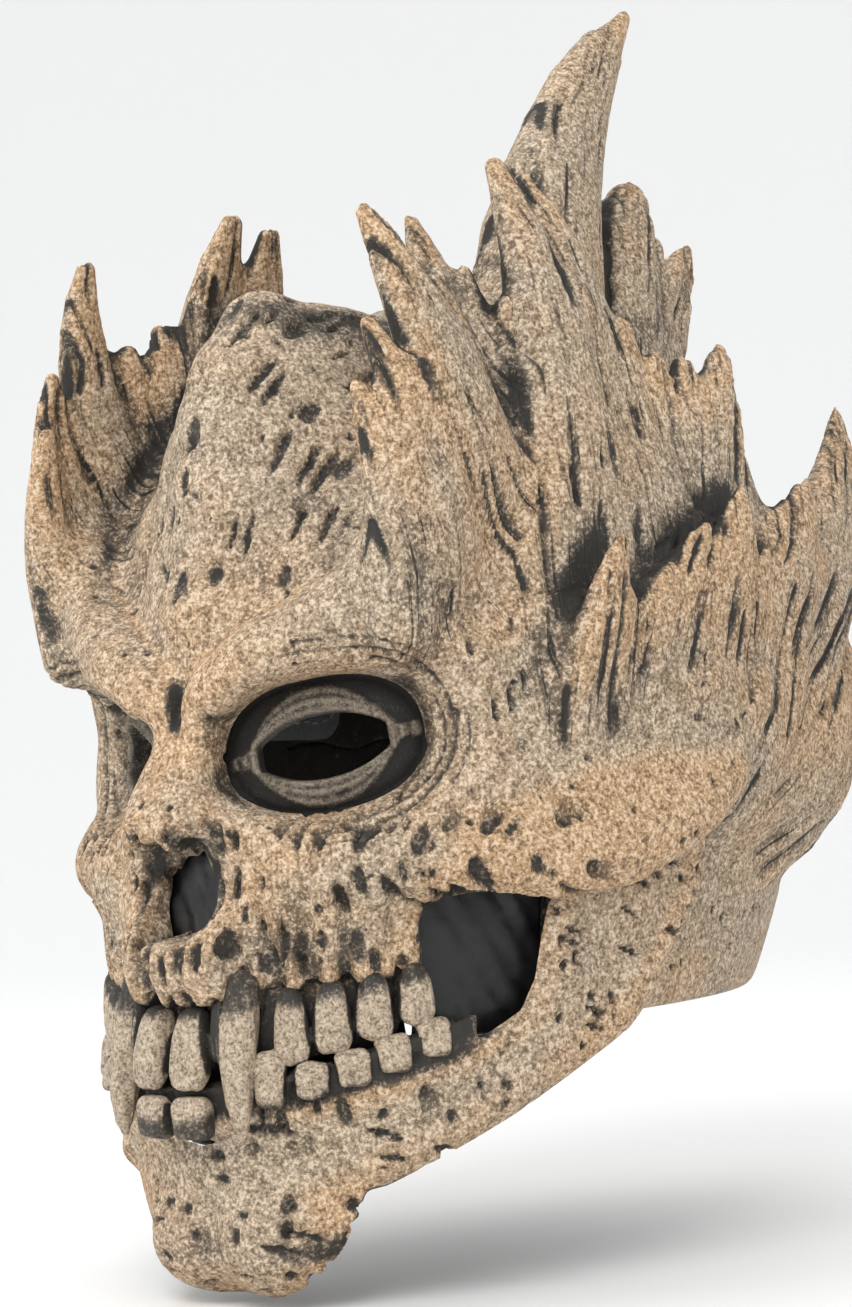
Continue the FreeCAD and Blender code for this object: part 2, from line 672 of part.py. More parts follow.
def build():
    """Every sub-part of the mask, by name."""
    skull, jaw = skull_shell(), jaw_shell()
    banks = crests()
    cover, laid = elastic_face(), elastic_face() + ELASTIC_THICKNESS
    parts = {"skull_shell": skull, "jaw_shell": jaw, "rear_crest": banks["rear_crest"]}
    for side in SIDES:
        for name in ("upper_crest", "middle_crest", "lower_crest"):
            parts[name + "_" + side] = on_side(banks[name], side)
        parts["eyelid_" + side] = eyelid(side)
        parts["cheek_gauze_" + side] = cheek_gauze(side)
        parts["upper_fang_" + side] = upper_fang(side).cut(skull)
        parts["upper_cheek_teeth_" + side] = row_of_teeth(UPPER_MOLARS, UPPER_MOLAR_HALF, True, [side], skull)
        parts["lower_cheek_teeth_" + side] = row_of_teeth(LOWER_MOLARS, LOWER_MOLAR_HALF, False, [side], jaw)
        parts["temple_pad_" + side] = on_side(pad(wedge(*TEMPLE_PAD)), side)
        parts["jaw_post_" + side] = pivot_post(side)
        parts["jaw_washer_" + side] = pivot_washer(side)
        parts["jaw_screw_" + side] = pivot_screw(side)
        parts["jaw_elastic_" + side] = closing_elastic(side)
        parts["skull_rivet_" + side] = rivet(SKULL_RIVET, WALL, cover, side)
        parts["jaw_rivet_" + side] = rivet(JAW_RIVET, laid, -(JAW_GAP + WALL), side)
    parts["upper_incisors"] = row_of_teeth(UPPER_INCISORS, UPPER_INCISOR_HALF, True, SIDES, skull)
    parts["lower_incisors"] = row_of_teeth(LOWER_INCISORS, LOWER_INCISOR_HALF, False, SIDES, jaw)
    parts["nose_gauze"] = nose_gauze()
    parts["forehead_pad"] = pad(wedge(*FOREHEAD_PAD))
    parts["crown_pad"] = pad(wedge(*CROWN_PAD))
    parts["nape_pad"] = pad(wedge(*NAPE_PAD))
    parts["chin_cup"] = chin_cup()
    return parts


def main():
    """Writes one STEP file for each sub-part."""
    os.makedirs("parts", exist_ok=True)
    for name, shape in build().items():
        shape.exportStep(os.path.join("parts", name + ".step"))
        print(name, round(shape.Volume / 1000, 2), "cm3", len(shape.Solids), "solids", shape.isValid())


main()
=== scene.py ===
"""Looks of the horned skull mask: a cast latex skull with banks of bone flames and a sprung jaw.

The casting is modelled in clay first: distance fields on an even grid, joined and carved as a
sculptor adds and scrapes away, then skinned. Each casting is cut from the same clay along its
own creases. Clay sizes are in millimetres and every finished mesh is in metres, in the frame.
"""

import logging
import math
from dataclasses import dataclass, field
from enum import Enum

import bpy
import numpy as np
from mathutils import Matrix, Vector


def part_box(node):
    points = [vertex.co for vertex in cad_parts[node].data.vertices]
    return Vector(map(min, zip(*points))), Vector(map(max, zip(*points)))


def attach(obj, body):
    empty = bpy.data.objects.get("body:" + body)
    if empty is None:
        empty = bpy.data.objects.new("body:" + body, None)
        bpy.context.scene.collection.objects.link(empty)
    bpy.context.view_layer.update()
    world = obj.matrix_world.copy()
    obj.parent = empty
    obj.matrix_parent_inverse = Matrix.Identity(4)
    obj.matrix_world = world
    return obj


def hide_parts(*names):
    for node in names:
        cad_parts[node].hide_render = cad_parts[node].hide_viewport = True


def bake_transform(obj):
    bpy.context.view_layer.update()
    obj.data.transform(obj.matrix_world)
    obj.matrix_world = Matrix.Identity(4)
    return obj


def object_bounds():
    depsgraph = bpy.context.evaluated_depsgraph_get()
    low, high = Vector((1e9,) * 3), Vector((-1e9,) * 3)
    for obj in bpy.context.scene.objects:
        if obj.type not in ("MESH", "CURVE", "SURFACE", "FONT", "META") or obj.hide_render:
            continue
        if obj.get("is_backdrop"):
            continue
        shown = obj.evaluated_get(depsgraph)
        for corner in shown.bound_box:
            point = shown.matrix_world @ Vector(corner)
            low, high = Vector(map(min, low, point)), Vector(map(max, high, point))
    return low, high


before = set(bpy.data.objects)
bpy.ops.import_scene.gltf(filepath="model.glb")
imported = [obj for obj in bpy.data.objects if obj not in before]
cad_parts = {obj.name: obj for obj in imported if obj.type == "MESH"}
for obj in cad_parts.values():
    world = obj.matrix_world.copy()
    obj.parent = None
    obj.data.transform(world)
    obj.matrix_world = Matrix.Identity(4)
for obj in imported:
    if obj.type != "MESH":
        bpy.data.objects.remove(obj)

import openvdb
from mathutils import Matrix

MM = 0.001
LOG = logging.getLogger("mask")
Array = np.ndarray
Spot = tuple[float, float, float]


class Body(Enum):
    """The two moving bodies of the mask."""

    SKULL = "skull"
    JAW = "jaw"


class Slot(Enum):
    """Finishes named in the record."""

    BONE = "latex_bone"
    TEETH = "latex_teeth"
    LID = "latex_lid"
    GAUZE = "gauze"
    FOAM = "foam"
    ELASTIC = "elastic"
    STEEL = "steel"
    NYLON = "nylon"


# ------------------------------------------------------------------ sums over points
def soft_min(a: Array, b: Array, reach: float) -> Array:
    """Joins two distance fields with a fillet.

    Args:
        a: first field.
        b: second field.
        reach: size of the fillet in millimetres.

    Returns:
        The joined field.
    """
    near = np.maximum(reach - np.abs(a - b), 0.0) / reach
    return np.minimum(a, b) - near * near * (reach * 0.25)


def soft_max(a: Array, b: Array, reach: float) -> Array:
    """Keeps what two distance fields share, with a rounded edge of size reach."""
    return -soft_min(-a, -b, reach)


def ramp(value: Array, start: float, end: float) -> Array:
    """Smooth step from 0 at start to 1 at end."""
    share = np.clip((value - start) / (end - start), 0.0, 1.0)
    return share * share * (3.0 - 2.0 * share)


def lattice_noise(points: Array, seed: int) -> Array:
    """Smooth seeded noise with one bump for each unit of distance.

    Args:
        points: rows of three coordinates.
        seed: picks the pattern.

    Returns:
        One value from -1 to 1 for each row.
    """
    base = np.floor(points).astype(np.int64)
    part = points - base
    part = part * part * (3.0 - 2.0 * part)
    total = np.zeros(len(points))
    for corner in range(8):
        step = np.array([corner & 1, corner >> 1 & 1, corner >> 2 & 1])
        cell = base + step
        key = cell[:, 0] * 73856093 ^ cell[:, 1] * 19349663 ^ cell[:, 2] * 83492791 ^ seed * 40503
        key = (key ^ key >> 13) * 1274126177 & 0x7FFFFFFF
        key = key ^ key >> 15
        value = (key & 0xFFFF) / 32767.5 - 1.0
        weight = np.prod(np.where(step == 1, part, 1.0 - part), axis=1)
        total += weight * value
    return total


def layered_noise(points: Array, seed: int, layers: int = 3) -> Array:
    """Noise with finer layers added at half strength each."""
    total = np.zeros(len(points))
    for layer in range(layers):
        total += lattice_noise(points * 2.0**layer, seed + layer) / 2.0**layer
    return total / 1.6


def bar_field(x: Array, y: Array, z: Array, spots: Array, radii: Array, thin: Array | None, flat: float) -> Array:
    """Distance to a bent, tapering bar.

    Args:
        x: x of the points.
        y: y of the points.
        z: z of the points.
        spots: stations along the bar.
        radii: half thickness at each station, across its wide way.
        thin: unit direction of its thin way along each stretch, or None where it is round.
        flat: how many times thinner it is that way.

    Returns:
        Distance from the bar's skin, negative inside.
    """
    best: Array | None = None
    for i in range(len(spots) - 1):
        a, along = spots[i], spots[i + 1] - spots[i]
        px, py, pz = x - a[0], y - a[1], z - a[2]
        share = np.clip((px * along[0] + py * along[1] + pz * along[2]) / (along @ along), 0.0, 1.0)
        qx, qy, qz = px - share * along[0], py - share * along[1], pz - share * along[2]
        square = qx * qx + qy * qy + qz * qz
        if thin is not None:
            square = square + (flat * flat - 1.0) * (qx * thin[i][0] + qy * thin[i][1] + qz * thin[i][2]) ** 2
        gap = np.sqrt(square) - (radii[i] + (radii[i + 1] - radii[i]) * share)
        best = gap if best is None else np.minimum(best, gap)
    return best / math.sqrt(flat)


def outline_field(y: Array, z: Array, outline: tuple[tuple[float, float], ...]) -> Array:
    """Distance from a closed side outline, negative inside.

    Args:
        y: y of the points.
        z: z of the points.
        outline: corners in Y and Z.

    Returns:
        Signed distance in the Y, Z plane.
    """
    y, z = np.broadcast_arrays(y, z)
    best = np.full(y.shape, 1e9)
    inside = np.zeros(y.shape, bool)
    for (y0, z0), (y1, z1) in zip(outline, outline[1:] + outline[:1]):
        ey, ez = y1 - y0, z1 - z0
        share = np.clip(((y - y0) * ey + (z - z0) * ez) / (ey * ey + ez * ez), 0.0, 1.0)
        best = np.minimum(best, np.hypot(y - y0 - share * ey, z - z0 - share * ez))
        if z0 != z1:
            crosses = (z0 > z) != (z1 > z)
            inside ^= crosses & (y < y0 + (z - z0) / (z1 - z0) * ey)
    return np.where(inside, -best, best)


# ------------------------------------------------------------------ the clay
class Clay:
    """Distance fields on one even grid, in millimetres."""

    def __init__(self, low: Spot, high: Spot, step: float) -> None:
        """Lays out the grid between two corners."""
        self.low = np.array(low, float)
        self.step = step
        self.counts = tuple(int(math.ceil((b - a) / step)) + 1 for a, b in zip(low, high))
        self.axes = [a + step * np.arange(n) for a, n in zip(low, self.counts)]

    def window(self, low: Array, high: Array, margin: float) -> tuple[tuple[slice, ...], list[Array]]:
        """The part of the grid round a box.

        Args:
            low: lowest corner.
            high: highest corner.
            margin: extra room all round.

        Returns:
            The slices, and x, y and z as open arrays.
        """
        slices, coordinates = [], []
        for axis in range(3):
            first = int(np.clip((low[axis] - margin - self.low[axis]) / self.step, 0, self.counts[axis] - 2))
            last = int(np.clip((high[axis] + margin - self.low[axis]) / self.step + 2, first + 2, self.counts[axis]))
            shape = [1, 1, 1]
            shape[axis] = last - first
            slices.append(slice(first, last))
            coordinates.append(self.axes[axis][first:last].reshape(shape))
        return tuple(slices), coordinates

    def whole(self) -> list[Array]:
        """x, y and z of the whole grid as open arrays."""
        return [axis.reshape([-1 if i == j else 1 for j in range(3)]) for i, axis in enumerate(self.axes)]

    def read(self, values: Array, points: Array) -> Array:
        """Reads a field between its grid points.

        Args:
            values: the field.
            points: rows of x, y, z.

        Returns:
            One value for each row.
        """
        spot = (points - self.low) / self.step
        top = np.array(self.counts) - 1.001
        spot = np.clip(spot, 0.0, top)
        base = spot.astype(np.int64)
        part = spot - base
        total = np.zeros(len(points))
        for corner in range(8):
            step = (corner & 1, corner >> 1 & 1, corner >> 2 & 1)
            weight = np.ones(len(points))
            for axis in range(3):
                weight *= part[:, axis] if step[axis] else 1.0 - part[:, axis]
            total += weight * values[base[:, 0] + step[0], base[:, 1] + step[1], base[:, 2] + step[2]]
        return total

    def slope(self, values: Array, points: Array) -> Array:
        """The field's slope at each point, as rows."""
        rows = []
        for axis in range(3):
            nudge = np.zeros(3)
            nudge[axis] = self.step * 0.6
            rows.append((self.read(values, points + nudge) - self.read(values, points - nudge)) / (1.2 * self.step))
        return np.stack(rows, 1)

    def skin(self, values: Array) -> tuple[Array, Array]:
        """Skins a field.

        Args:
            values: the field.

        Returns:
            The corners in millimetres and the four-cornered faces, facing outwards.
        """
        band = 3.0 * self.step
        padded = np.pad(np.clip(values, -band, band), 1, constant_values=band).astype(np.float32)
        grid = openvdb.FloatGrid(band)
        grid.copyFromArray(padded)
        points, faces = grid.convertToQuads(isovalue=0.0)
        points = (points.astype(float) - 1.0) * self.step + self.low
        for _ in range(2):
            gap = self.read(values, points)
            lean = self.slope(values, points)
            size = np.maximum((lean * lean).sum(1), 0.09)
            move = lean * (gap / size)[:, None]
            length = np.linalg.norm(move, axis=1)
            points -= move * np.minimum(1.0, 0.5 * self.step / np.maximum(length, 1e-9))[:, None]
        faces = np.asarray(faces, np.int64)
        a, b, c = (points[faces[:, i]] for i in (0, 1, 2))
        facing = np.cross(b - a, c - a)
        outward = self.slope(values, (a + c) / 2.0)
        if (facing * outward).sum() < 0:
            faces = faces[:, ::-1]
        return points, faces


# ------------------------------------------------------------------ the head's own surface
@dataclass(frozen=True)
class HeadForm:
    """The master surface that every casting, pad and strap follows."""

    heights: tuple[float, ...] = (-139, -133, -122, -107, -92, -75, -50, -25, 0, 30, 60, 88, 108, 120, 124)
    half_widths: tuple[float, ...] = (20, 34, 46, 57, 65, 73, 78, 80, 80, 80, 77, 66, 48, 26, 8)
    fronts: tuple[float, ...] = (
        -97, -104, -108, -109, -117, -124, -119, -115, -112, -112, -105, -85, -58, -31, -9,
    )
    backs: tuple[float, ...] = (-52, -38, -5, 45, 80, 97, 106, 112, 115, 115, 106, 88, 62, 34, 10)
    widest: tuple[float, ...] = (-76, -74, -70, -60, -48, -35, -20, -10, -5, 0, 0, 0, 0, 0, 0)
    roundness: tuple[float, ...] = (2, 2, 1.9, 1.8, 1.75, 1.75, 1.8, 1.9, 2, 2.1, 2.1, 2.1, 2.05, 2, 2)
    back_roundness: float = 2.15
    smoothing: float = 5.0

    def at(self, row: tuple[float, ...], z: Array) -> Array:
        """One of the rows above at heights z, smoothed along the height."""
        fine = np.arange(-160.0, 140.0, 1.0)
        values = np.interp(fine, self.heights, row)
        reach = np.arange(-12, 13)
        weights = np.exp(-0.5 * (reach / self.smoothing) ** 2)
        values = np.convolve(np.pad(values, 12, mode="edge"), weights / weights.sum(), mode="valid")
        return np.interp(z, fine, values)

    def field(self, x: Array, y: Array, z: Array) -> Array:
        """Distance from the master surface, negative inside."""
        half, front, back = self.at(self.half_widths, z), self.at(self.fronts, z), self.at(self.backs, z)
        middle, power = self.at(self.widest, z), self.at(self.roundness, z)
        power = np.where(y < middle, power, self.back_roundness)
        reach = np.where(y < middle, middle - front, back - middle)
        ahead = np.abs(y - middle) / np.maximum(reach, 2.0)
        aside = np.abs(x) / np.maximum(half, 2.0)
        over = (aside**power + ahead**power) ** (1.0 / power) - 1.0
        crown = (z - self.heights[-1]) / 60.0
        return np.maximum(over, crown)

    def on_side(self, y: float, z: float, out: float) -> Spot:
        """A spot beside the head.

        Args:
            y: how far back the skin is touched.
            z: height.
            out: how far it stands off the skin.

        Returns:
            The spot, on the left.
        """
        level = np.array(float(z))
        rows = (self.half_widths, self.fronts, self.backs, self.widest, self.roundness)
        half, front, back, middle, power = (float(self.at(row, level)) for row in rows)

        def width(place: float) -> float:
            """Half width of the head at a place along Y."""
            reach = middle - front if place < middle else back - middle
            bend = power if place < middle else self.back_roundness
            return half * max(0.0, 1.0 - abs((place - middle) / reach) ** bend) ** (1.0 / bend)

        lean = width(y + 0.5) - width(y - 0.5)
        size = math.hypot(1.0, lean)
        return width(y) + out / size, y - out * lean / size, float(z)

    def gum_spot(self, place: float, inset: float, z: float) -> tuple[Array, Array, Array]:
        """A spot on the gum.

        Args:
            place: how far it is from the middle of the mouth, left positive.
            inset: how far it lies inside the master surface.
            z: its height.

        Returns:
            The spot, the way along the gum and the way out of it.
        """
        level = np.array(z)
        half = float(self.at(self.half_widths, level)) - inset
        front = float(self.at(self.fronts, level)) + inset
        middle, power = float(self.at(self.widest, level)), float(self.at(self.roundness, level))

        def ahead(x: float) -> float:
            """y of the gum at x."""
            share = min(abs(x) / half, 0.999)
            return middle - (middle - front) * (1.0 - share**power) ** (1.0 / power)

        spot = np.array([place, ahead(place), z])
        along = np.array([1.0, ahead(place + 0.5) - ahead(place - 0.5), 0.0])
        along /= np.linalg.norm(along)
        outward = np.array([along[1], -along[0], 0.0])
        return spot, along, outward


def true_distance(clay: Clay, values: Array) -> Array:
    """A rough field divided by its own slope, so that it reads as a distance near its surface."""
    parts = np.gradient(values.astype(np.float32), clay.step)
    size = np.sqrt(sum(part * part for part in parts))
    return values / np.maximum(size, 1e-4)


# ------------------------------------------------------------------ parts of the sculpt
@dataclass(frozen=True)
class Flame:
    """One flame of bone: the curve it follows and the half sizes of its root."""

    root: Spot
    bend: Spot
    tip: Spot
    along: float
    across: float
    blunt: float = 2.3
    stations: int = 8

    def path(self) -> Array:
        """Points on the curve from root to tip."""
        share = np.linspace(0.0, 1.0, self.stations + 1)[:, None]
        a, b, c = (np.array(place, float) for place in (self.root, self.bend, self.tip))
        return a * (1 - share) ** 2 + b * 2 * share * (1 - share) + c * share**2

    def radii(self) -> Array:
        """Half sizes along the crest at those points."""
        share = np.linspace(0.0, 1.0, self.stations + 1)
        size = np.interp(share, (0.0, 0.35, 0.7, 0.9, 1.0), (1.0, 0.8, 0.44, 0.2, 0.0))
        return self.blunt + (self.along - self.blunt) * size

    def thin_ways(self) -> Array:
        """The thin direction of each stretch, square to it and leaning to the side."""
        ways = np.diff(self.path(), axis=0)
        ways /= np.linalg.norm(ways, axis=1)[:, None]
        side = np.array([1.0, 0.0, 0.0]) - ways * ways[:, :1]
        return side / np.linalg.norm(side, axis=1)[:, None]

    def flatness(self) -> float:
        """How many times wider it is along the crest than across."""
        return max(1.0, self.along / self.across)

    def mirrored(self) -> "Flame":
        """The same flame on the other side."""
        flip = [(-place[0], place[1], place[2]) for place in (self.root, self.bend, self.tip)]
        return Flame(flip[0], flip[1], flip[2], self.along, self.across, self.blunt, self.stations)

    def beside(self, other: "Flame", share: float, length: float, girth: float) -> "Flame":
        """A lesser flame between this one and another.

        Args:
            other: the next flame of the bank.
            share: how far it is towards the other.
            length: how far it reaches from the bend to the tip, 0 to 1.
            girth: its size beside the two.

        Returns:
            The new flame.
        """
        def mix(a: Spot, b: Spot, part: float) -> Array:
            """A spot between two."""
            return np.array(a) * (1 - part) + np.array(b) * part

        root, bend, tip = (mix(a, b, share) for a, b in zip(self.spots(), other.spots()))
        along = (self.along * (1 - share) + other.along * share) * girth
        across = (self.across * (1 - share) + other.across * share) * min(1.0, girth * 1.25)
        end = bend + (tip - bend) * length
        middle = root + (bend - root) * (0.5 + 0.5 * length)
        return Flame(tuple(root), tuple(middle), tuple(end), along, across, self.blunt, self.stations)

    def spots(self) -> tuple[Spot, Spot, Spot]:
        """Root, bend and tip."""
        return self.root, self.bend, self.tip


@dataclass(frozen=True)
class Bank:
    """A casting that holds one bank of flames on a shared foot."""

    name: str
    flames: tuple[Flame, ...]
    foot: tuple[tuple[float, float], ...] = ()
    thickness: float = 0.0
    fillet: float = 7.0
    feathers: int = 3

    def all_flames(self) -> list[Flame]:
        """The flames and the lesser ones between them."""
        whole = list(self.flames)
        for number, (one, other) in enumerate(zip(self.flames, self.flames[1:])):
            for i in range(self.feathers):
                share = (i + 1) / (self.feathers + 1)
                middle = 1.0 - abs(2.0 * share - 1.0)
                length = 0.42 - 0.34 * middle + 0.14 * math.sin(2.3 * number + 4.1 * i)
                whole.append(one.beside(other, share, max(0.04, length), 0.62))
        return whole

    def mirrored(self, name: str) -> "Bank":
        """The same bank for the other side."""
        flames = tuple(flame.mirrored() for flame in self.flames)
        return Bank(name, flames, self.foot, self.thickness, self.fillet, self.feathers)

    def side(self) -> float:
        """Which side its foot is on."""
        return math.copysign(1.0, self.flames[0].root[0])


def flames_of(*rows: tuple) -> tuple[Flame, ...]:
    """Flames from rows of root, bend, tip and half sizes."""
    return tuple(Flame(*row) for row in rows)


UPPER_BANK = Bank(
    "upper_crest_left",
    flames_of(
        ((60, -97, 26), (66, -104, 58), (57, -107, 86), 10, 8, 2.6),
        ((63, -84, 46), (69, -98, 75), (58, -103, 102), 11, 8, 2.8),
        ((62, -68, 66), (67, -88, 100), (52, -95, 132), 15, 10, 3.4),
        ((52, -48, 80), (50, -62, 112), (36, -58, 137), 13, 9, 2.8),
        ((68, -38, 48), (71, -38, 108), (50, -38, 151), 18, 12, 4.2),
        ((64, -14, 56), (66, -18, 110), (48, -24, 149), 17, 12, 4.0),
        ((64, 18, 50), (76, 22, 82), (71, 33, 105), 19, 11, 2.6),
    ),
    (
        (-104, 22), (-78, 22), (-50, 30), (-10, 34), (26, 38), (46, 52), (44, 74), (14, 84), (-20, 92),
        (-50, 90), (-72, 74), (-92, 50),
    ),
    5.0,
)
MIDDLE_BANK = Bank(
    "middle_crest_left",
    flames_of(
        ((77, -50, 2), (87, -50, 26), (91, -46, 47), 12, 7, 2.6),
        ((76, -26, 2), (88, -20, 30), (89, -4, 52), 16, 7, 2.2),
        ((76, 4, 6), (90, 6, 38), (88, 15, 62), 18, 8, 2.8),
        ((74, 30, 10), (84, 44, 44), (78, 64, 68), 22, 9, 2.2),
        ((68, 50, 16), (76, 88, 48), (55, 119, 95), 26, 11, 3.0),
        ((50, 78, 16), (50, 114, 46), (35, 146, 83), 22, 11, 2.8),
        ((26, 98, 10), (24, 124, 34), (14, 136, 58), 20, 10, 2.6),
    ),
    (
        (-62, 4), (-30, -2), (10, -3), (46, 2), (84, 8), (112, 26), (108, 46), (70, 46), (40, 34),
        (10, 27), (-20, 24), (-56, 22),
    ),
    6.0,
)
LOWER_BANK = Bank(
    "lower_crest_left",
    flames_of(
        ((79, -30, -4), (84, -24, 2), (88, -4, 10), 8, 5, 2.2),
        ((78, -8, -14), (86, 2, -6), (88, 22, 10), 14, 7, 2.2),
        ((76, 8, -20), (86, 18, -6), (82, 46, 16), 18, 8, 2.6),
        ((70, 42, -22), (80, 72, -8), (70, 90, 13), 22, 8, 2.4),
        ((58, 76, -22), (62, 106, -2), (50, 124, 27), 20, 9, 2.6),
        ((30, 98, -18), (30, 116, -2), (20, 128, 20), 18, 9, 2.4),
    ),
    (
        (-34, -3), (2, -3), (5, -24), (20, -27), (70, -29), (108, -24), (124, -8), (112, 12), (60, 6),
        (10, 4), (-30, 4),
    ),
    5.0,
)
REAR_BANK = Bank(
    "rear_crest",
    flames_of(
        ((22, 14, 82), (13, 16, 165), (14, 73, 219), 27, 20, 3.0),
        ((10, 46, 84), (14, 62, 140), (10, 78, 168), 26, 22, 3.0),
        ((-4, 60, 78), (4, 88, 128), (5, 91, 156), 25, 22, 2.8),
        ((-12, 74, 66), (-14, 114, 118), (-10, 136, 158), 24, 18, 2.8),
    ),
    feathers=2,
)
SIDE_BANKS = (UPPER_BANK, MIDDLE_BANK, LOWER_BANK)


@dataclass(frozen=True)
class Ridge:
    """A rounded ridge of clay through stations of x, y, z and radius."""

    stations: tuple[tuple[float, float, float, float], ...]
    fillet: float = 6.0
    mirror: bool = True

    def add(self, clay: Clay, values: Array) -> None:
        """Presses the ridge into the clay on both sides."""
        rows = np.array(self.stations, float)
        for side in (1.0, -1.0) if self.mirror else (1.0,):
            spots = rows[:, :3] * (side, 1.0, 1.0)
            reach = rows[:, 3].max() + self.fillet + 4.0
            area, (x, y, z) = clay.window(spots.min(0), spots.max(0), reach)
            values[area] = soft_min(values[area], bar_field(x, y, z, spots, rows[:, 3], None, 1.0), self.fillet)


@dataclass(frozen=True)
class Lump:
    """An egg of clay, pressed on or scooped out."""

    centre: Spot
    radii: Spot
    fillet: float = 6.0
    scoop: bool = False
    mirror: bool = True
    heading: float = 0.0

    def apply(self, clay: Clay, values: Array) -> None:
        """Adds or scoops the egg on both sides."""
        size = np.array(self.radii)
        for side in (1.0, -1.0) if self.mirror else (1.0,):
            middle = np.array(self.centre) * (side, 1.0, 1.0)
            reach = float(size.max()) + self.fillet + 3.0
            area, (x, y, z) = clay.window(middle, middle, reach)
            turn = math.radians(self.heading) * side
            dx, dy, dz = x - middle[0], y - middle[1], z - middle[2]
            px, py = dx * math.cos(turn) + dy * math.sin(turn), dy * math.cos(turn) - dx * math.sin(turn)
            k0 = np.sqrt((px / size[0]) ** 2 + (py / size[1]) ** 2 + (dz / size[2]) ** 2)
            k1 = np.sqrt((px / size[0] ** 2) ** 2 + (py / size[1] ** 2) ** 2 + (dz / size[2] ** 2) ** 2)
            egg = k0 * (k0 - 1.0) / np.maximum(k1, 1e-6)
            if self.scoop:
                values[area] = soft_max(values[area], -egg, self.fillet)
            else:
                values[area] = soft_min(values[area], egg, self.fillet)


# Side outlines of the castings, in Y and Z.
SKULL_SIDE = (
    (-200, -71), (-140, -71), (-90, -61), (-87, -60), (-86, -44), (-60, -30), (-42, -34), (-36, -60), (-32, -70),
    (-22, -76), (90, -76), (125, -66), (200, -60), (200, 200), (-200, 200),
)
JAW_SIDE = (
    (-200, -101), (-140, -101), (-92, -84), (-84, -79), (-76, -77), (-68, -72), (-64, -64), (-62, -54), (-60, -46),
    (-54, -37), (-40, -28), (-30, -24), (-24, -19), (-10, -19), (-6, -27), (-8, -44), (-19, -58), (-26, -68),
    (-31, -77), (-66, -97), (-97, -116), (-104, -200), (-200, -200),
)
TEMPLE_PLATE = (
    (-80, -27), (-66, -39), (-40, -40), (-14, -29), (4, -18), (12, 0), (12, 26), (-30, 34), (-68, 34), (-82, 20),
)
ARCH_POCKET = ((-87, -62), (-87, -36), (-78, -26), (-62, -19), (-30, -13), (20, -13), (20, -62))
UPPER_GUM = ((-140.0, -71.0), (-90.0, -61.0))
LOWER_GUM = ((-140.0, -101.0), (-92.0, -84.0))
BITE_LINE = ((-124.0, -88.0), (-92.0, -76.0))


def line_z(line: tuple, y: Array) -> Array:
    """Height of a straight side line at y."""
    (y0, z0), (y1, z1) = line
    return z0 + (z1 - z0) * (y - y0) / (y1 - y0)


@dataclass(frozen=True)
class Orbit:
    """One eye socket: an oval tunnel that faces outwards and forwards."""

    centre: Spot = (35.5, -104.0, -2.0)
    half_width: float = 25.5
    half_height: float = 16.8
    heading: float = 31.0
    tilt: float = 9.0
    power: float = 2.3

    def place(self, x: Array, y: Array, z: Array, side: float) -> tuple[Array, Array, Array]:
        """Coordinates in the socket: across, up and outwards, in millimetres."""
        turn, roll = math.radians(self.heading), math.radians(self.tilt)
        dx, dy, dz = x * side - self.centre[0], y - self.centre[1], z - self.centre[2]
        across = dx * math.cos(turn) + dy * math.sin(turn)
        outward = dx * math.sin(turn) - dy * math.cos(turn)
        return (
            across * math.cos(roll) + dz * math.sin(roll), dz * math.cos(roll) - across * math.sin(roll), outward,
        )

    def ring(self, x: Array, y: Array, z: Array, side: float) -> Array:
        """0 at the middle of the socket and 1 at its rim."""
        across, up, _ = self.place(x, y, z, side)
        power = self.power
        return (np.abs(across / self.half_width) ** power + np.abs(up / self.half_height) ** power) ** (1 / power)


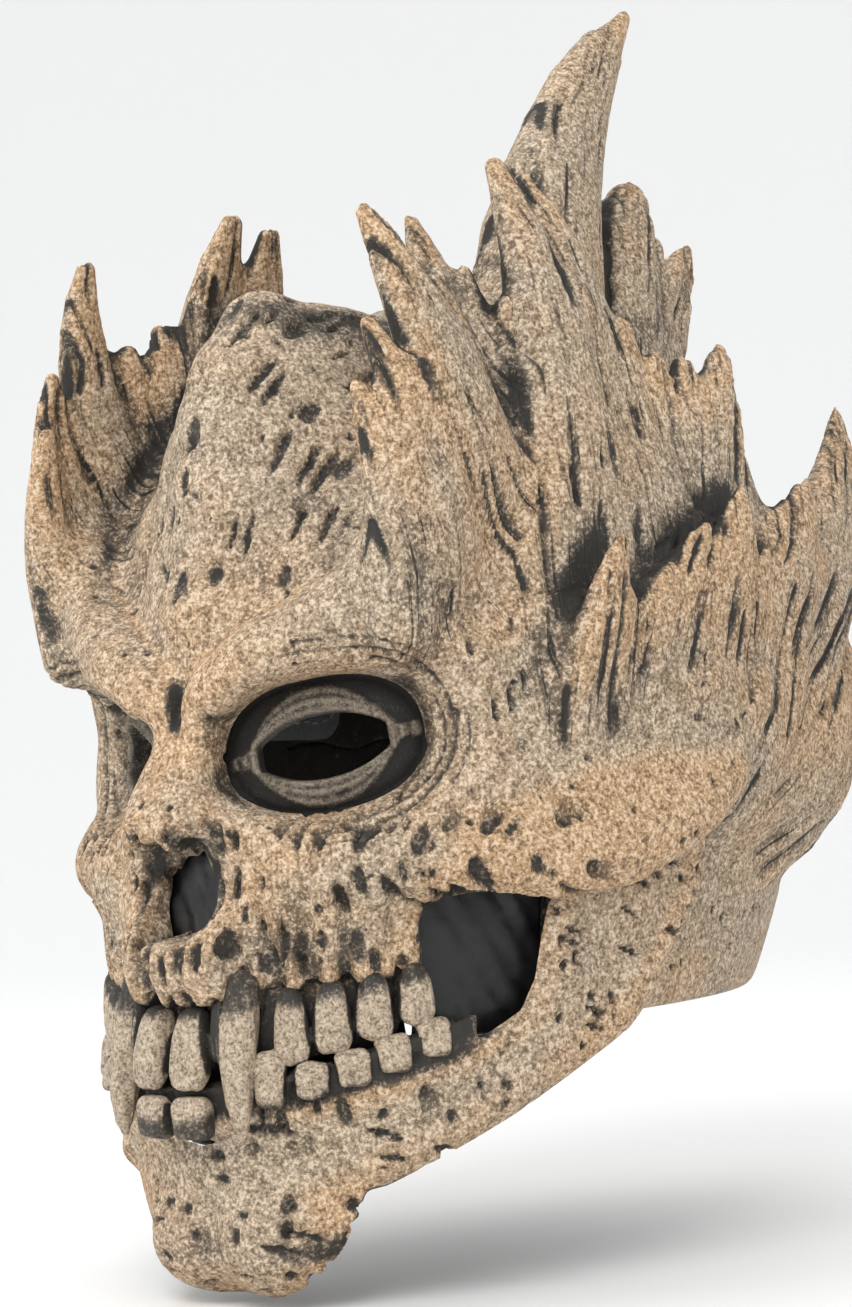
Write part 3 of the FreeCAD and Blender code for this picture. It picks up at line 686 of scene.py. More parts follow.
class SkullSculpt:
    """The clay of the skull and its crests, before it is split into castings."""

    def __init__(self, head: HeadForm, step: float) -> None:
        """Lays out the clay and models it."""
        self.head = head
        self.orbit = Orbit()
        self.clay = Clay((-101.0, -143.0, -92.0), (101.0, 153.0, 227.0), step)
        x, y, z = self.clay.whole()
        self.form = true_distance(self.clay, head.field(x, y, z).astype(np.float32))
        self.banks = [*SIDE_BANKS, *(bank.mirrored(bank.name.replace("left", "right")) for bank in SIDE_BANKS)]
        self.banks.append(REAR_BANK)
        self.flames = [flame for bank in self.banks for flame in bank.all_flames()]
        self.skull = self.model_skull()
        self.crests = {bank.name: self.model_bank(bank) for bank in self.banks}
        self.crest = np.minimum.reduce(list(self.crests.values()))
        self.whole = self.skull
        for bank in self.banks:
            self.whole = soft_min(self.whole, self.crests[bank.name], bank.fillet)
        self.carve_grooves()

    def model_skull(self) -> Array:
        """The skull without its crests."""
        clay, values = self.clay, self.form.copy()
        for lump in self.face_lumps():
            lump.apply(clay, values)
        x, y, z = clay.whole()
        side = outline_field(y, z, SKULL_SIDE).astype(np.float32)
        values = soft_max(values, side, 3.0)
        for ridge in self.face_ridges():
            ridge.add(clay, values)
        self.add_temples(values)
        self.add_arches(values)
        self.add_gums(values)
        for scoop in self.face_scoops():
            scoop.apply(clay, values)
        self.cut_sockets(values)
        return values

    def face_lumps(self) -> list[Lump]:
        """Broad forms under the face."""
        return [
            Lump((0, -99, -56), (33, 32, 20), 9.0, mirror=False),
            Lump((33, -92, -50), (17, 17, 22), 9.0),
            Lump((0, -104, 22), (15, 9, 24), 10.0, mirror=False),
            Lump((0, -66, 74), (30, 40, 44), 14.0, mirror=False),
            Lump((20, -100, -22), (12, 14, 12), 7.0),
        ]

    def face_ridges(self) -> list[Ridge]:
        """Brows, nose and the rims of the eye sockets."""
        brow = (
            (5.5, -114.5, 9, 6.0), (13, -115, 13, 8.5), (24, -112, 19.5, 10.0), (37, -105, 27, 10.0),
            (49, -98, 36, 10.0), (56, -95, 48, 9.0),
        )
        lower_brow = ((30, -104, 18, 7.5), (43, -97, 22, 8.0), (54, -87, 22, 8.5), (62, -76, 15, 8.0))
        return [
            Ridge(brow, 6.0),
            Ridge(lower_brow, 7.0),
            Ridge(((0, -107, 34, 6), (0, -101, 52, 8.5), (0, -99, 74, 9), (0, -93.5, 96, 9), (0, -80, 112, 8)), 9.0, False),
            Ridge(((60, -76, 16, 8), (63, -74, 2, 7), (61, -77, -12, 7.5), (55, -86, -24, 8)), 7.0),
            Ridge(((56, -88, 28, 7), (60, -92, 44, 7), (62, -88, 58, 7)), 8.0),
            Ridge(((4, -110, 8, 6), (5, -116, -6, 6.5), (5, -123, -17, 7), (4, -127.5, -23, 6.5)), 6.0),
            Ridge(((10, -115, -20, 7), (17, -112, -28, 7), (17, -113, -42, 6), (13, -117, -54, 5.5)), 6.0),
            Ridge(((17, -110, -24, 6), (32, -106, -27, 7), (46, -96, -29, 8)), 7.0),
        ]

    def add_temples(self, values: Array) -> None:
        """The thick temples, flush with the cheek arches and the feet of the crests."""
        x, y, z = self.clay.whole()
        rise = 12.4 - 6.0 * ramp(z, -14.0, 14.0)
        plate = soft_max(self.form - rise, outline_field(y, z, TEMPLE_PLATE).astype(np.float32), 9.0)
        values[...] = soft_min(values, plate.astype(np.float32), 9.0)

    def add_arches(self, values: Array) -> None:
        """The cheek arches, which stand off the head so that the jaw passes behind them."""
        rows = (
            (-108, -38, 0.0, 7.5), (-98, -34, 2.0, 9.5), (-86, -32, 4.0, 10.5), (-72, -33, 5.5, 10.5),
            (-58, -36, 7.0, 9.0), (-42, -33, 8.0, 8.0), (-26, -27, 8.5, 7.5), (-12, -21, 8.0, 7.0), (0, -14, 5.0, 7.0),
        )
        stations = [(*self.head.on_side(y, z, out), radius) for y, z, out, radius in rows]
        arch = np.full(values.shape, 60.0, np.float32)
        Ridge(tuple(stations), 3.0).add(self.clay, arch)
        x, y, z = self.clay.whole()
        pocket = np.maximum(np.abs(self.form - 4.0) - 5.0, outline_field(y, z, ARCH_POCKET)).astype(np.float32)
        arch = soft_max(arch, -pocket, 2.5)
        values[...] = soft_min(values, arch, 8.0)
        values[...] = soft_max(values, -pocket, 2.0)

    def add_gums(self, values: Array) -> None:
        """The gum behind the upper teeth, down to the bite."""
        x, y, z = self.clay.whole()
        level = np.maximum(z - line_z(UPPER_GUM, y) - 6.0, line_z(BITE_LINE, y) + 0.2 - z)
        gum = np.maximum(np.maximum(np.abs(self.form + 4.2) - 2.6, level), y + 86.0).astype(np.float32)
        values[...] = soft_min(values, gum, 1.5)

    def face_scoops(self) -> list[Lump]:
        """Hollows of the face."""
        return [
            Lump((4.6, -128, -41.5), (7.6, 24, 9.5), 2.5, scoop=True),
            Lump((2.6, -132, -34), (5.2, 24, 8.0), 2.5, scoop=True),
            Lump((0, -122, 11), (2.2, 7, 9), 3.0, scoop=True, mirror=False),
            Lump((23, -122, -58), (6, 7, 9), 6.0, scoop=True),
        ]

    def cut_sockets(self, values: Array) -> None:
        """Opens both eye sockets with a soft rim."""
        for side in (1.0, -1.0):
            area, (x, y, z) = self.clay.window(np.array([side * 36, -100, -2]), np.array([side * 36, -100, -2]), 44.0)
            _, _, outward = self.orbit.place(x, y, z, side)
            tunnel = (self.orbit.ring(x, y, z, side) - 1.0) * 19.0
            tunnel = np.maximum(tunnel, -outward - 22.0)
            values[area] = soft_max(values[area], -tunnel, 7.0)

    def model_bank(self, bank: Bank) -> Array:
        """The flames and foot of one crest."""
        values = np.full(self.clay.counts, 60.0, np.float32)
        for flame in bank.all_flames():
            spots = flame.path()
            area, (x, y, z) = self.clay.window(spots.min(0), spots.max(0), flame.along + 14.0)
            bar = bar_field(x, y, z, spots, flame.radii(), flame.thin_ways(), flame.flatness())
            values[area] = soft_min(values[area], bar, 4.0)
        if bank.foot:
            x, y, z = self.clay.whole()
            foot = soft_max(self.form - bank.thickness, outline_field(y, z, bank.foot).astype(np.float32), 5.0)
            foot = np.maximum(foot, 22.0 - x * bank.side())
            values = soft_min(values, foot.astype(np.float32), 8.0)
        return values

    def carve_grooves(self) -> None:
        """Dark hollows between the dome and the crests."""
        for side in (1.0, -1.0):
            rows = np.array(
                [
                    (side * 40, -103, 47, 4.0), (side * 43, -92, 66, 5.0), (side * 42, -74, 86, 5.5),
                    (side * 38, -52, 101, 5.5), (side * 36, -28, 111, 5.5), (side * 34, 0, 115, 5.0),
                ]
            )
            area, (x, y, z) = self.clay.window(rows[:, :3].min(0), rows[:, :3].max(0), 14.0)
            groove = bar_field(x, y, z, rows[:, :3], rows[:, 3], None, 1.0)
            self.whole[area] = soft_max(self.whole[area], -groove - 1.0, 6.0)

    def casting(self, name: str) -> tuple[Array, Array]:
        """The fields of one crest casting.

        Args:
            name: the crest's name.

        Returns:
            The shared outer skin and the field that parts the casting from the rest.
        """
        others = [values for key, values in self.crests.items() if key != name]
        rest = np.minimum(self.skull, np.minimum.reduce(others))
        parting = np.maximum(self.crests[name] - rest - 0.15, -(self.form + 0.5))
        return self.whole, parting

    def shell(self) -> tuple[Array, Array]:
        """The shared outer skin, and the field that parts the skull from its crests and its hollow."""
        parting = np.maximum(self.skull - self.crest - 0.15, -(self.form + 3.0))
        x, y, z = self.clay.whole()
        return self.whole, parting


class JawSculpt:
    """The clay of the jaw casting."""

    def __init__(self, head: HeadForm, step: float) -> None:
        """Lays out the clay and models it."""
        self.head = head
        self.clay = Clay((-98.0, -131.0, -149.0), (98.0, 5.0, -12.0), step)
        x, y, z = self.clay.whole()
        rough = head.field(x, y, z)
        form = true_distance(self.clay, rough.astype(np.float32))
        self.form = soft_max(form, np.broadcast_to(-139.0 - z, form.shape).astype(np.float32), 8.0)
        self.whole = self.model()
        level = np.maximum(line_z(LOWER_GUM, y) - 7.0 - z, y + 79.0)
        self.parting = -(self.form - 3.3 + 2.5 * ramp(level, 2.0, -1.0))

    def model(self) -> Array:
        """The jaw's outer form."""
        clay, values = self.clay, self.form - 6.0
        for lump in (
            Lump((12.5, -103, -128), (13.5, 13, 14.5), 6.0),
            Lump((0, -119.6, -104), (16, 4.6, 5), 2.5, scoop=True, mirror=False),
            Lump((0, -119, -131), (3.0, 6, 16), 4.0, scoop=True, mirror=False),
        ):
            lump.apply(clay, values)
        x, y, z = clay.whole()
        side = outline_field(y, z, JAW_SIDE).astype(np.float32)
        values = soft_max(values, side, 3.0)
        edge = Ridge(
            tuple(
                (*self.stand(y0, z0, 4.6), radius)
                for y0, z0, radius in (
                    (-11, -28, 3.4), (-13, -42, 3.6), (-23, -56, 3.8), (-31, -68, 4.2), (-38, -75, 4.6),
                    (-68, -93, 4.6), (-92, -108, 4.6),
                )
            ),
            4.0,
        )
        edge.add(clay, values)
        level = np.maximum(line_z(LOWER_GUM, y) - 6.0 - z, z - line_z(BITE_LINE, y) + 0.4)
        gum = np.maximum(np.maximum(np.abs(self.form - 2.8) - 2.4, level), y + 80.0).astype(np.float32)
        values = soft_min(values, gum, 1.5)
        for side_of in (1.0, -1.0):
            rows = np.array([(side_of * 19, -117, -74), (side_of * 20.5, -120, -88), (side_of * 21, -119, -104)], float)
            area, (px, py, pz) = clay.window(rows.min(0), rows.max(0), 14.0)
            room = bar_field(px, py, pz, rows, np.array([5.8, 5.4, 4.0]), None, 1.0)
            values[area] = soft_max(values[area], -room, 2.0)
        return values

    def stand(self, y: float, z: float, out: float) -> Spot:
        """A spot beside the head, out from its skin."""
        return self.head.on_side(y, z, out)


# ------------------------------------------------------------------ relief pressed into the skins
def chips(points: Array, size: Spot, gap: float, chance: float, seed: int) -> Array:
    """Scattered long chips, as a mask.

    Args:
        points: rows of coordinates in millimetres.
        size: half sizes of a chip along each axis.
        gap: spacing of the chips, in chip sizes.
        chance: share of the places that hold a chip.
        seed: picks the pattern.

    Returns:
        1 well inside a chip and 0 outside.
    """
    spread = points / (np.array(size) * gap * 2.0)
    base = np.floor(spread - 0.5).astype(np.int64)
    best = np.zeros(len(points))
    for corner in range(8):
        cell = base + np.array([corner & 1, corner >> 1 & 1, corner >> 2 & 1])
        draws = []
        for lane in range(4):
            key = cell[:, 0] * 73856093 ^ cell[:, 1] * 19349663 ^ cell[:, 2] * 83492791 ^ (seed * 8 + lane) * 7919
            key = (key ^ key >> 13) * 1274126177 & 0x7FFFFFFF
            draws.append((key >> 8 & 0xFFFF) / 65535.0)
        middle = cell + 0.5 + (np.stack(draws[:3], 1) - 0.5) * 0.45
        away = (spread - middle) * gap * 2.0
        radius = 0.66 + 0.34 * draws[0]
        inside = 1.0 - np.linalg.norm(away, axis=1) / radius
        best = np.maximum(best, np.where(draws[3] < chance, inside, 0.0))
    return best


@dataclass
class Marks:
    """What the relief does at each corner of a skin: how deep it presses, how dark its grooves are painted, partly a
    dark wash and partly painted shade, and which way it runs.
    """

    depth: Array
    dark: Array
    flow: Array


class Relief:
    """Grooves, strands, chips and creases of the castings."""

    def __init__(self, skull: SkullSculpt) -> None:
        """Keeps the sculpt whose flames give the direction of the grooves."""
        self.skull = skull

    def flow(self, points: Array) -> tuple[Array, Array]:
        """Coordinates along the nearest flame.

        Args:
            points: rows of x, y, z.

        Returns:
            Rows of across, along and flame number, and how near the flames' clay is.
        """
        near = self.skull.clay.read(self.skull.crest, points)
        best = np.full(len(points), 1e9)
        rows = np.zeros((len(points), 3))
        wanted = near < 7.0
        for number, flame in enumerate(self.skull.flames):
            spots, radii, ways = flame.path(), flame.radii(), flame.thin_ways()
            reach = flame.along + 10.0
            low, high = spots.min(0) - reach, spots.max(0) + reach
            pick = np.flatnonzero(wanted & ((points > low) & (points < high)).all(1))
            if not len(pick):
                continue
            local, run = points[pick], 0.0
            for i in range(len(spots) - 1):
                way = spots[i + 1] - spots[i]
                length = float(np.linalg.norm(way))
                way = way / length
                off = local - spots[i]
                share = np.clip(off @ way, 0.0, length)
                side = off - share[:, None] * way
                wide = np.cross(way, ways[i])
                gap = np.linalg.norm(side, axis=1) - (radii[i] + (radii[i + 1] - radii[i]) * share / length)
                closer = gap < best[pick]
                chosen = pick[closer]
                best[chosen] = gap[closer]
                rows[chosen, 0] = (side @ wide)[closer]
                rows[chosen, 1] = (share + run)[closer]
                rows[chosen, 2] = number
                run += length
        return rows, near

    def crest_marks(self, points: Array) -> Marks:
        """Flutes and brushed grooves that run along the flames."""
        rows, near = self.flow(points)
        weight = ramp(near, 6.0, 0.5)
        wander = lattice_noise(points / 18.0, 5) * 2.2
        across = rows[:, 0] + wander
        broad = layered_noise(np.stack([across / 6.5, rows[:, 1] / 48.0, rows[:, 2] * 3.7], 1), 11, 2)
        fine = layered_noise(np.stack([across / 2.7, rows[:, 1] / 24.0, rows[:, 2] * 5.3], 1), 17, 2)
        slit = chips(np.stack([across, rows[:, 1], rows[:, 2] * 40.0], 1), (1.7, 8.0, 9.0), 1.9, 0.34, 3)
        broad_cut, fine_cut, slit_cut = ramp(broad, 0.12, 0.62), ramp(fine, 0.1, 0.5), ramp(slit, 0.05, 0.4)
        depth = weight * (1.5 * broad_cut + 0.85 * fine_cut + 1.1 * slit_cut)
        # Dark in the flutes and grooves: partly a dark wash, partly painted shade.
        dark = weight * np.clip(0.55 * broad_cut + 0.9 * fine_cut + 1.0 * slit_cut, 0.0, 1.0)
        return Marks(depth, dark, np.stack([across, rows[:, 1], weight], 1))

    def skull_marks(self, points: Array) -> Marks:
        """Everything pressed into the skull and its crests."""
        marks = self.crest_marks(points)
        x, y, z = points.T
        face = 1.0 - marks.flow[:, 2]
        self.press_strands(marks, points, face)
        cheek = face * ramp(y, -40.0, -62.0) * ramp(z, -14.0, -26.0)
        self.press(marks, cheek, chips(points, (2.5, 11.0, 7.4), 1.06, 0.95, 21), 2.0, 0.2)
        self.press(marks, cheek, chips(points + 5.0, (1.4, 8.0, 4.6), 1.3, 0.8, 23), 1.3, 0.25)
        temple = face * ramp(z, -12.0, 0.0) * ramp(np.abs(x), 46.0, 56.0) * ramp(y, 30.0, 0.0)
        self.press(marks, temple, chips(points, (12.0, 1.9, 6.0), 1.3, 0.8, 33), 1.5, 0.25)
        dome = face * ramp(z, 24.0, 44.0) * ramp(np.abs(x), 50.0, 40.0)
        swell = layered_noise(points / 15.0, 45, 3)
        marks.depth -= dome * 2.2 * swell
        # The hollows of the dome are darkened: partly a dark wash, partly painted shade.
        marks.dark = np.maximum(marks.dark, dome * 0.5 * ramp(swell, -0.15, -0.6))
        slanted = np.stack([points[:, 0] - 0.25 * points[:, 2], points[:, 1], points[:, 2]], 1)
        self.press(marks, dome, chips(slanted, (1.7, 12.0, 9.0), 1.15, 0.9, 41), 1.5, 0.25)
        self.press(marks, dome, chips(points + 7.0, (3.4, 11.0, 5.0), 1.4, 0.7, 43), 1.2, 0.25)
        nape = face * ramp(y, 0.0, 20.0) * ramp(z, 10.0, -10.0)
        self.press(marks, nape, chips(points, (3.0, 1.3, 2.2), 2.6, 0.3, 51), 0.8, 0.3)
        pits = chips(points, (1.5, 1.5, 2.0), 1.7, 0.4, 61)
        self.press(marks, face, pits, 0.9, 0.3)
        self.press_creases(marks, points)
        return marks

    def press(self, marks: Marks, weight: Array, mask: Array, depth: float, edge: float) -> None:
        """Presses a mask into the marks, with a steep edge."""
        cut = ramp(mask, 0.02, edge) * weight
        marks.depth += depth * cut
        # Every pressed chip and groove is darkened too: partly a dark wash, partly painted shade.
        marks.dark = np.maximum(marks.dark, cut * 0.85)

    def press_strands(self, marks: Marks, points: Array, weight: Array) -> None:
        """Upright sinews over the roots of the upper teeth."""
        x, y, z = points.T
        around = np.arctan2(x, -(y + 62.0)) * 62.0
        zone = weight * ramp(z + 0.35 * np.abs(x), -12.0, -30.0) * ramp(y, -66.0, -82.0)
        bend = lattice_noise(points / 13.0, 71) * 1.6
        strand = layered_noise(np.stack([(around + bend) / 4.3, z / 22.0, x * 0.0], 1), 73, 2)
        cut = ramp(strand, 0.02, 0.55) * zone
        marks.depth += cut * (2.0 + 1.6 * ramp(z, -46.0, -62.0))
        # The sinews' grooves are darkened, more so lower down: partly a dark wash, partly painted shade.
        marks.dark = np.maximum(marks.dark, cut * (0.35 + 0.4 * ramp(z, -40.0, -58.0)))

    def press_creases(self, marks: Marks, points: Array) -> None:
        """Folds round the outer half of the eye sockets."""
        x, y, z = points.T
        for side in (1.0, -1.0):
            ring = self.skull.orbit.ring(x, y, z, side)
            across, up, outward = self.skull.orbit.place(x, y, z, side)
            near = ramp(outward, -40.0, -22.0) * ramp(across, -12.0, 4.0) * (x * side > 0)
            for radius, width, depth in ((1.24, 0.035, 0.8), (1.36, 0.045, 1.3), (1.52, 0.03, 0.7)):
                wander = lattice_noise(points / 11.0, int(radius * 50)) * 0.035
                line = np.exp(-(((ring + wander - radius) / width) ** 2)) * near
                line *= ramp(lattice_noise(points / 14.0, int(radius * 90)), -0.5, 0.1)
                marks.depth += depth * line
                # The folds are darkened: partly a dark wash, partly painted shade.
                marks.dark = np.maximum(marks.dark, 0.8 * line)

    def jaw_marks(self, points: Array) -> Marks:
        """Chips, sinews and pits of the jaw."""
        count = len(points)
        marks = Marks(np.zeros(count), np.zeros(count), np.zeros((count, 3)))
        x, y, z = points.T
        whole = np.ones(count)
        gum = line_z(LOWER_GUM, y)
        upper = ramp(z - gum, -22.0, -4.0) * ramp(y, -66.0, -78.0)
        self.press(marks, upper, chips(points, (2.2, 11.0, 6.6), 1.08, 0.95, 121), 2.0, 0.2)
        slant = np.stack([x, y - 0.5 * z, z + 0.4 * y], 1)
        self.press(marks, whole, chips(slant, (12.0, 6.5, 1.7), 1.4, 0.75, 131), 1.5, 0.25)
        self.press(marks, whole, chips(points, (3.4, 1.7, 2.4), 1.5, 0.55, 141), 1.2, 0.3)
        chin = ramp(z, -108.0, -116.0)
        self.press(marks, chin, chips(points, (2.6, 4.0, 3.6), 1.3, 0.75, 151), 1.6, 0.3)
        marks.flow[:, 0] = np.arctan2(x, -y) * 80.0
        marks.flow[:, 1] = z
        return marks


# ------------------------------------------------------------------ meshes
def make_mesh(name: str, points: Array, faces: Array) -> bpy.types.Mesh:
    """A smooth mesh from points in metres.

    Args:
        name: name of the mesh.
        points: rows of x, y, z.
        faces: rows of corner numbers, all with as many corners.

    Returns:
        The mesh, shaded smooth.
    """
    mesh = bpy.data.meshes.new(name)
    count, corners = faces.shape
    mesh.vertices.add(len(points))
    mesh.vertices.foreach_set("co", points.astype(np.float32).ravel())
    mesh.loops.add(count * corners)
    mesh.loops.foreach_set("vertex_index", faces.astype(np.int32).ravel())
    mesh.polygons.add(count)
    mesh.polygons.foreach_set("loop_start", np.arange(0, count * corners, corners, dtype=np.int32))
    mesh.update(calc_edges=True)
    mesh.validate()
    mesh.shade_smooth()
    return mesh


def mesh_points(mesh: bpy.types.Mesh) -> Array:
    """The mesh's points as rows."""
    flat = np.empty(len(mesh.vertices) * 3, np.float32)
    mesh.vertices.foreach_get("co", flat)
    return flat.reshape(-1, 3).astype(float)


def add_values(mesh: bpy.types.Mesh, name: str, values: Array) -> None:
    """Stores one number or one vector for each point of a mesh."""
    if values.ndim == 1:
        mesh.attributes.new(name, "FLOAT", "POINT").data.foreach_set("value", values.astype(np.float32))
    else:
        layer = mesh.attributes.new(name, "FLOAT_VECTOR", "POINT")
        layer.data.foreach_set("vector", values.astype(np.float32).ravel())


def place(mesh: bpy.types.Mesh, material: bpy.types.Material, slot: Slot, body: Body, *nodes: str) -> bpy.types.Object:
    """Puts a finished mesh into the scene as a piece.

    Args:
        mesh: the mesh, in the frame.
        material: its finish.
        slot: the slot that the finish belongs to; not used.
        body: the body that it rides on.
        nodes: the plain solids that it stands for.

    Returns:
        The piece.
    """
    piece = bpy.data.objects.new(mesh.name, mesh)
    bpy.context.scene.collection.objects.link(piece)
    mesh.materials.clear()
    mesh.materials.append(material)
    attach(piece, body.value)
    if nodes:
        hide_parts(*nodes)
    LOG.info("%s: %d faces", piece.name, len(mesh.polygons))
    return piece


def thinned(mesh: bpy.types.Mesh, inside: Array, most: int) -> bpy.types.Mesh:
    """The same mesh with fewer faces on its hidden side.

    Args:
        mesh: the mesh.
        inside: 1 for each point that may be thinned out.
        most: how many triangles it may keep.

    Returns:
        The lighter mesh.
    """
    triangles = sum(len(face.vertices) - 2 for face in mesh.polygons)
    if triangles <= most:
        return mesh
    holder = bpy.data.objects.new("holder", mesh)
    bpy.context.scene.collection.objects.link(holder)
    group = holder.vertex_groups.new(name="inside")
    group.add(np.flatnonzero(inside).tolist(), 1.0, "REPLACE")
    modifier = holder.modifiers.new("thin", "DECIMATE")
    modifier.ratio = most / triangles
    modifier.vertex_group = group.name
    modifier.vertex_group_factor = 1000.0
    shape = bpy.data.meshes.new_from_object(holder.evaluated_get(bpy.context.evaluated_depsgraph_get()))
    shape.name = mesh.name + "_thin"
    bpy.data.objects.remove(holder)
    return shape


class CastSkins:
    """Cuts the clay into castings, presses the relief in and dresses them."""

    most_triangles = 190000

    def __init__(self, skull: SkullSculpt, jaw: JawSculpt, relief: Relief, material: bpy.types.Material) -> None:
        """Keeps what every casting shares."""
        self.skull, self.jaw, self.relief, self.material = skull, jaw, relief, material

    def build(self) -> None:
        """Makes every casting."""
        field, parting = self.skull.shell()
        self.cast("skull_casting", self.skull, field, parting, Body.SKULL, "skull_shell")
        for bank in self.skull.banks:
            field, parting = self.skull.casting(bank.name)
            self.cast(bank.name + "_casting", self.skull, field, parting, Body.SKULL, bank.name)
        self.cast("jaw_casting", self.jaw, self.jaw.whole, self.jaw.parting, Body.JAW, "jaw_shell")

    def cast(self, name: str, source: object, field: Array, parting: Array, body: Body, node: str) -> None:
        """Makes one casting.

        Args:
            name: name of the piece.
            source: the sculpt that it is cut from.
            field: the outer skin.
            parting: what parts it from its neighbours and its hollow.
            body: the body that it rides on.
            node: the plain solid that it stands for.
        """
        clay = source.clay
        points, faces = clay.skin(np.maximum(field, parting))
        points = self.sharpen(clay, field, parting, points)
        points, faces = largest_shells(points, faces)
        mesh = make_mesh(name, points * MM, faces)
        hidden = clay.read(parting, points) > clay.read(field, points) + 0.3
        mesh = thinned(mesh, hidden, self.most_triangles)
        points = mesh_points(mesh) / MM
        outer = ramp(clay.read(field, points), -0.9, -0.15)
        marks = self.relief.skull_marks(points) if body is Body.SKULL else self.relief.jaw_marks(points)
        normal = clay.slope(field, points)
        normal /= np.maximum(np.linalg.norm(normal, axis=1), 1e-6)[:, None]
        wash, warm_and_highlight = self.tone(clay, field, points, normal)
        moved = points - normal * (marks.depth * outer)[:, None]
        mesh.vertices.foreach_set("co", (moved * MM).astype(np.float32).ravel())
        mesh.update()
        mesh.set_sharp_from_angle(angle=math.radians(62.0))
        # The dark value stored here is partly a dark wash in the grooves and partly painted shade in hollows and
        # creases; the warm one is partly tan paint and partly a painted highlight.
        add_values(mesh, "wash", np.clip(np.maximum(wash, marks.dark * outer), 0.0, 1.0))
        add_values(mesh, "gum", self.gum(points, body))
        add_values(mesh, "warm_and_highlight", warm_and_highlight)
        add_values(mesh, "flow", marks.flow * np.array([MM, MM, 1.0]))
        mesh.name = name
        place(mesh, self.material, Slot.BONE, body, node)

    def sharpen(self, clay: Clay, field: Array, parting: Array, points: Array) -> Array:
        """Pulls the corners that lie near a parting edge onto the edge itself."""
        reach = 0.8 * clay.step
        for _ in range(2):
            a, b = clay.read(field, points), clay.read(parting, points)
            pick = np.flatnonzero((np.abs(a) < reach) & (np.abs(b) < reach))
            spots = points[pick]
            u, v = clay.slope(field, spots), clay.slope(parting, spots)
            uu, vv, uv = (u * u).sum(1), (v * v).sum(1), (u * v).sum(1)
            room = np.maximum(uu * vv - uv * uv, 0.05)
            first = (a[pick] * vv - b[pick] * uv) / room
            second = (b[pick] * uu - a[pick] * uv) / room
            move = u * first[:, None] + v * second[:, None]
            length = np.linalg.norm(move, axis=1)
            points[pick] -= move * np.minimum(1.0, reach / np.maximum(length, 1e-9))[:, None]
        return points

    def tone(self, clay: Clay, field: Array, points: Array, normal: Array) -> tuple[Array, Array]:
        """How dark the hollows are painted, with a wash and painted shade, and how warm the raised places are, with tan
        paint and a painted highlight.

        Args:
            clay: the grid.
            field: the outer skin.
            points: corners of the skin.
            normal: the way out at each.

        Returns:
            Wash with painted shade, and warmth with painted highlight, from 0 to 1.
        """
        # Painted shade: the more the skin is closed in by the clay round it, the darker it is washed, as ambient shade
        # in hollows and creases.
        closed = np.zeros(len(points))
        for reach, share in ((3.0, 0.22), (6.0, 0.26), (11.0, 0.3), (18.0, 0.22)):
            open_way = clay.read(field, points + normal * reach) / reach
            closed += share * np.clip(1.0 - open_way, 0.0, 1.2)
        wash = ramp(closed, 0.14, 0.62)
        # Painted highlight: thin, raised places get more of the warm, lighter tone, and closed-in places get less of
        # it.
        solid = -clay.read(field, points - normal * 7.0) / 7.0
        proud = 1.0 - np.clip(solid, 0.0, 1.0)
        drift = layered_noise(points / 34.0, 81, 2)
        warm_and_highlight = np.clip(0.32 + 0.75 * proud + 0.38 * drift - 0.8 * closed, 0.0, 1.0)
        return wash, warm_and_highlight

    def gum(self, points: Array, body: Body) -> Array:
        """Where the casting is darkened round the roots of the teeth and on the gum behind them."""
        x, y, z = points.T
        front = ramp(y, -74.0, -84.0)
        if body is Body.SKULL:
            return front * ramp(z - line_z(UPPER_GUM, y), 4.0, -2.5)
        return front * ramp(z - line_z(LOWER_GUM, y), -5.0, 0.5)


def largest_shells(points: Array, faces: Array) -> tuple[Array, Array]:
    """Keeps only the shells of a skin that hold more than a few hundred corners.

    Args:
        points: rows of x, y, z.
        faces: rows of corner numbers.

    Returns:
        The points and faces that are left.
    """
    label = np.arange(len(points))
    while True:
        low = label[faces].min(axis=1)
        fresh = label.copy()
        for corner in range(faces.shape[1]):
            np.minimum.at(fresh, faces[:, corner], low)
        fresh = fresh[fresh]
        if (fresh == label).all():
            break
        label = fresh
    names, counts = np.unique(label, return_counts=True)
    kept = np.isin(label, names[counts > max(300, 0.02 * len(points))])
    faces = faces[kept[faces[:, 0]]]
    number = np.cumsum(kept) - 1
    return points[kept], number[faces]


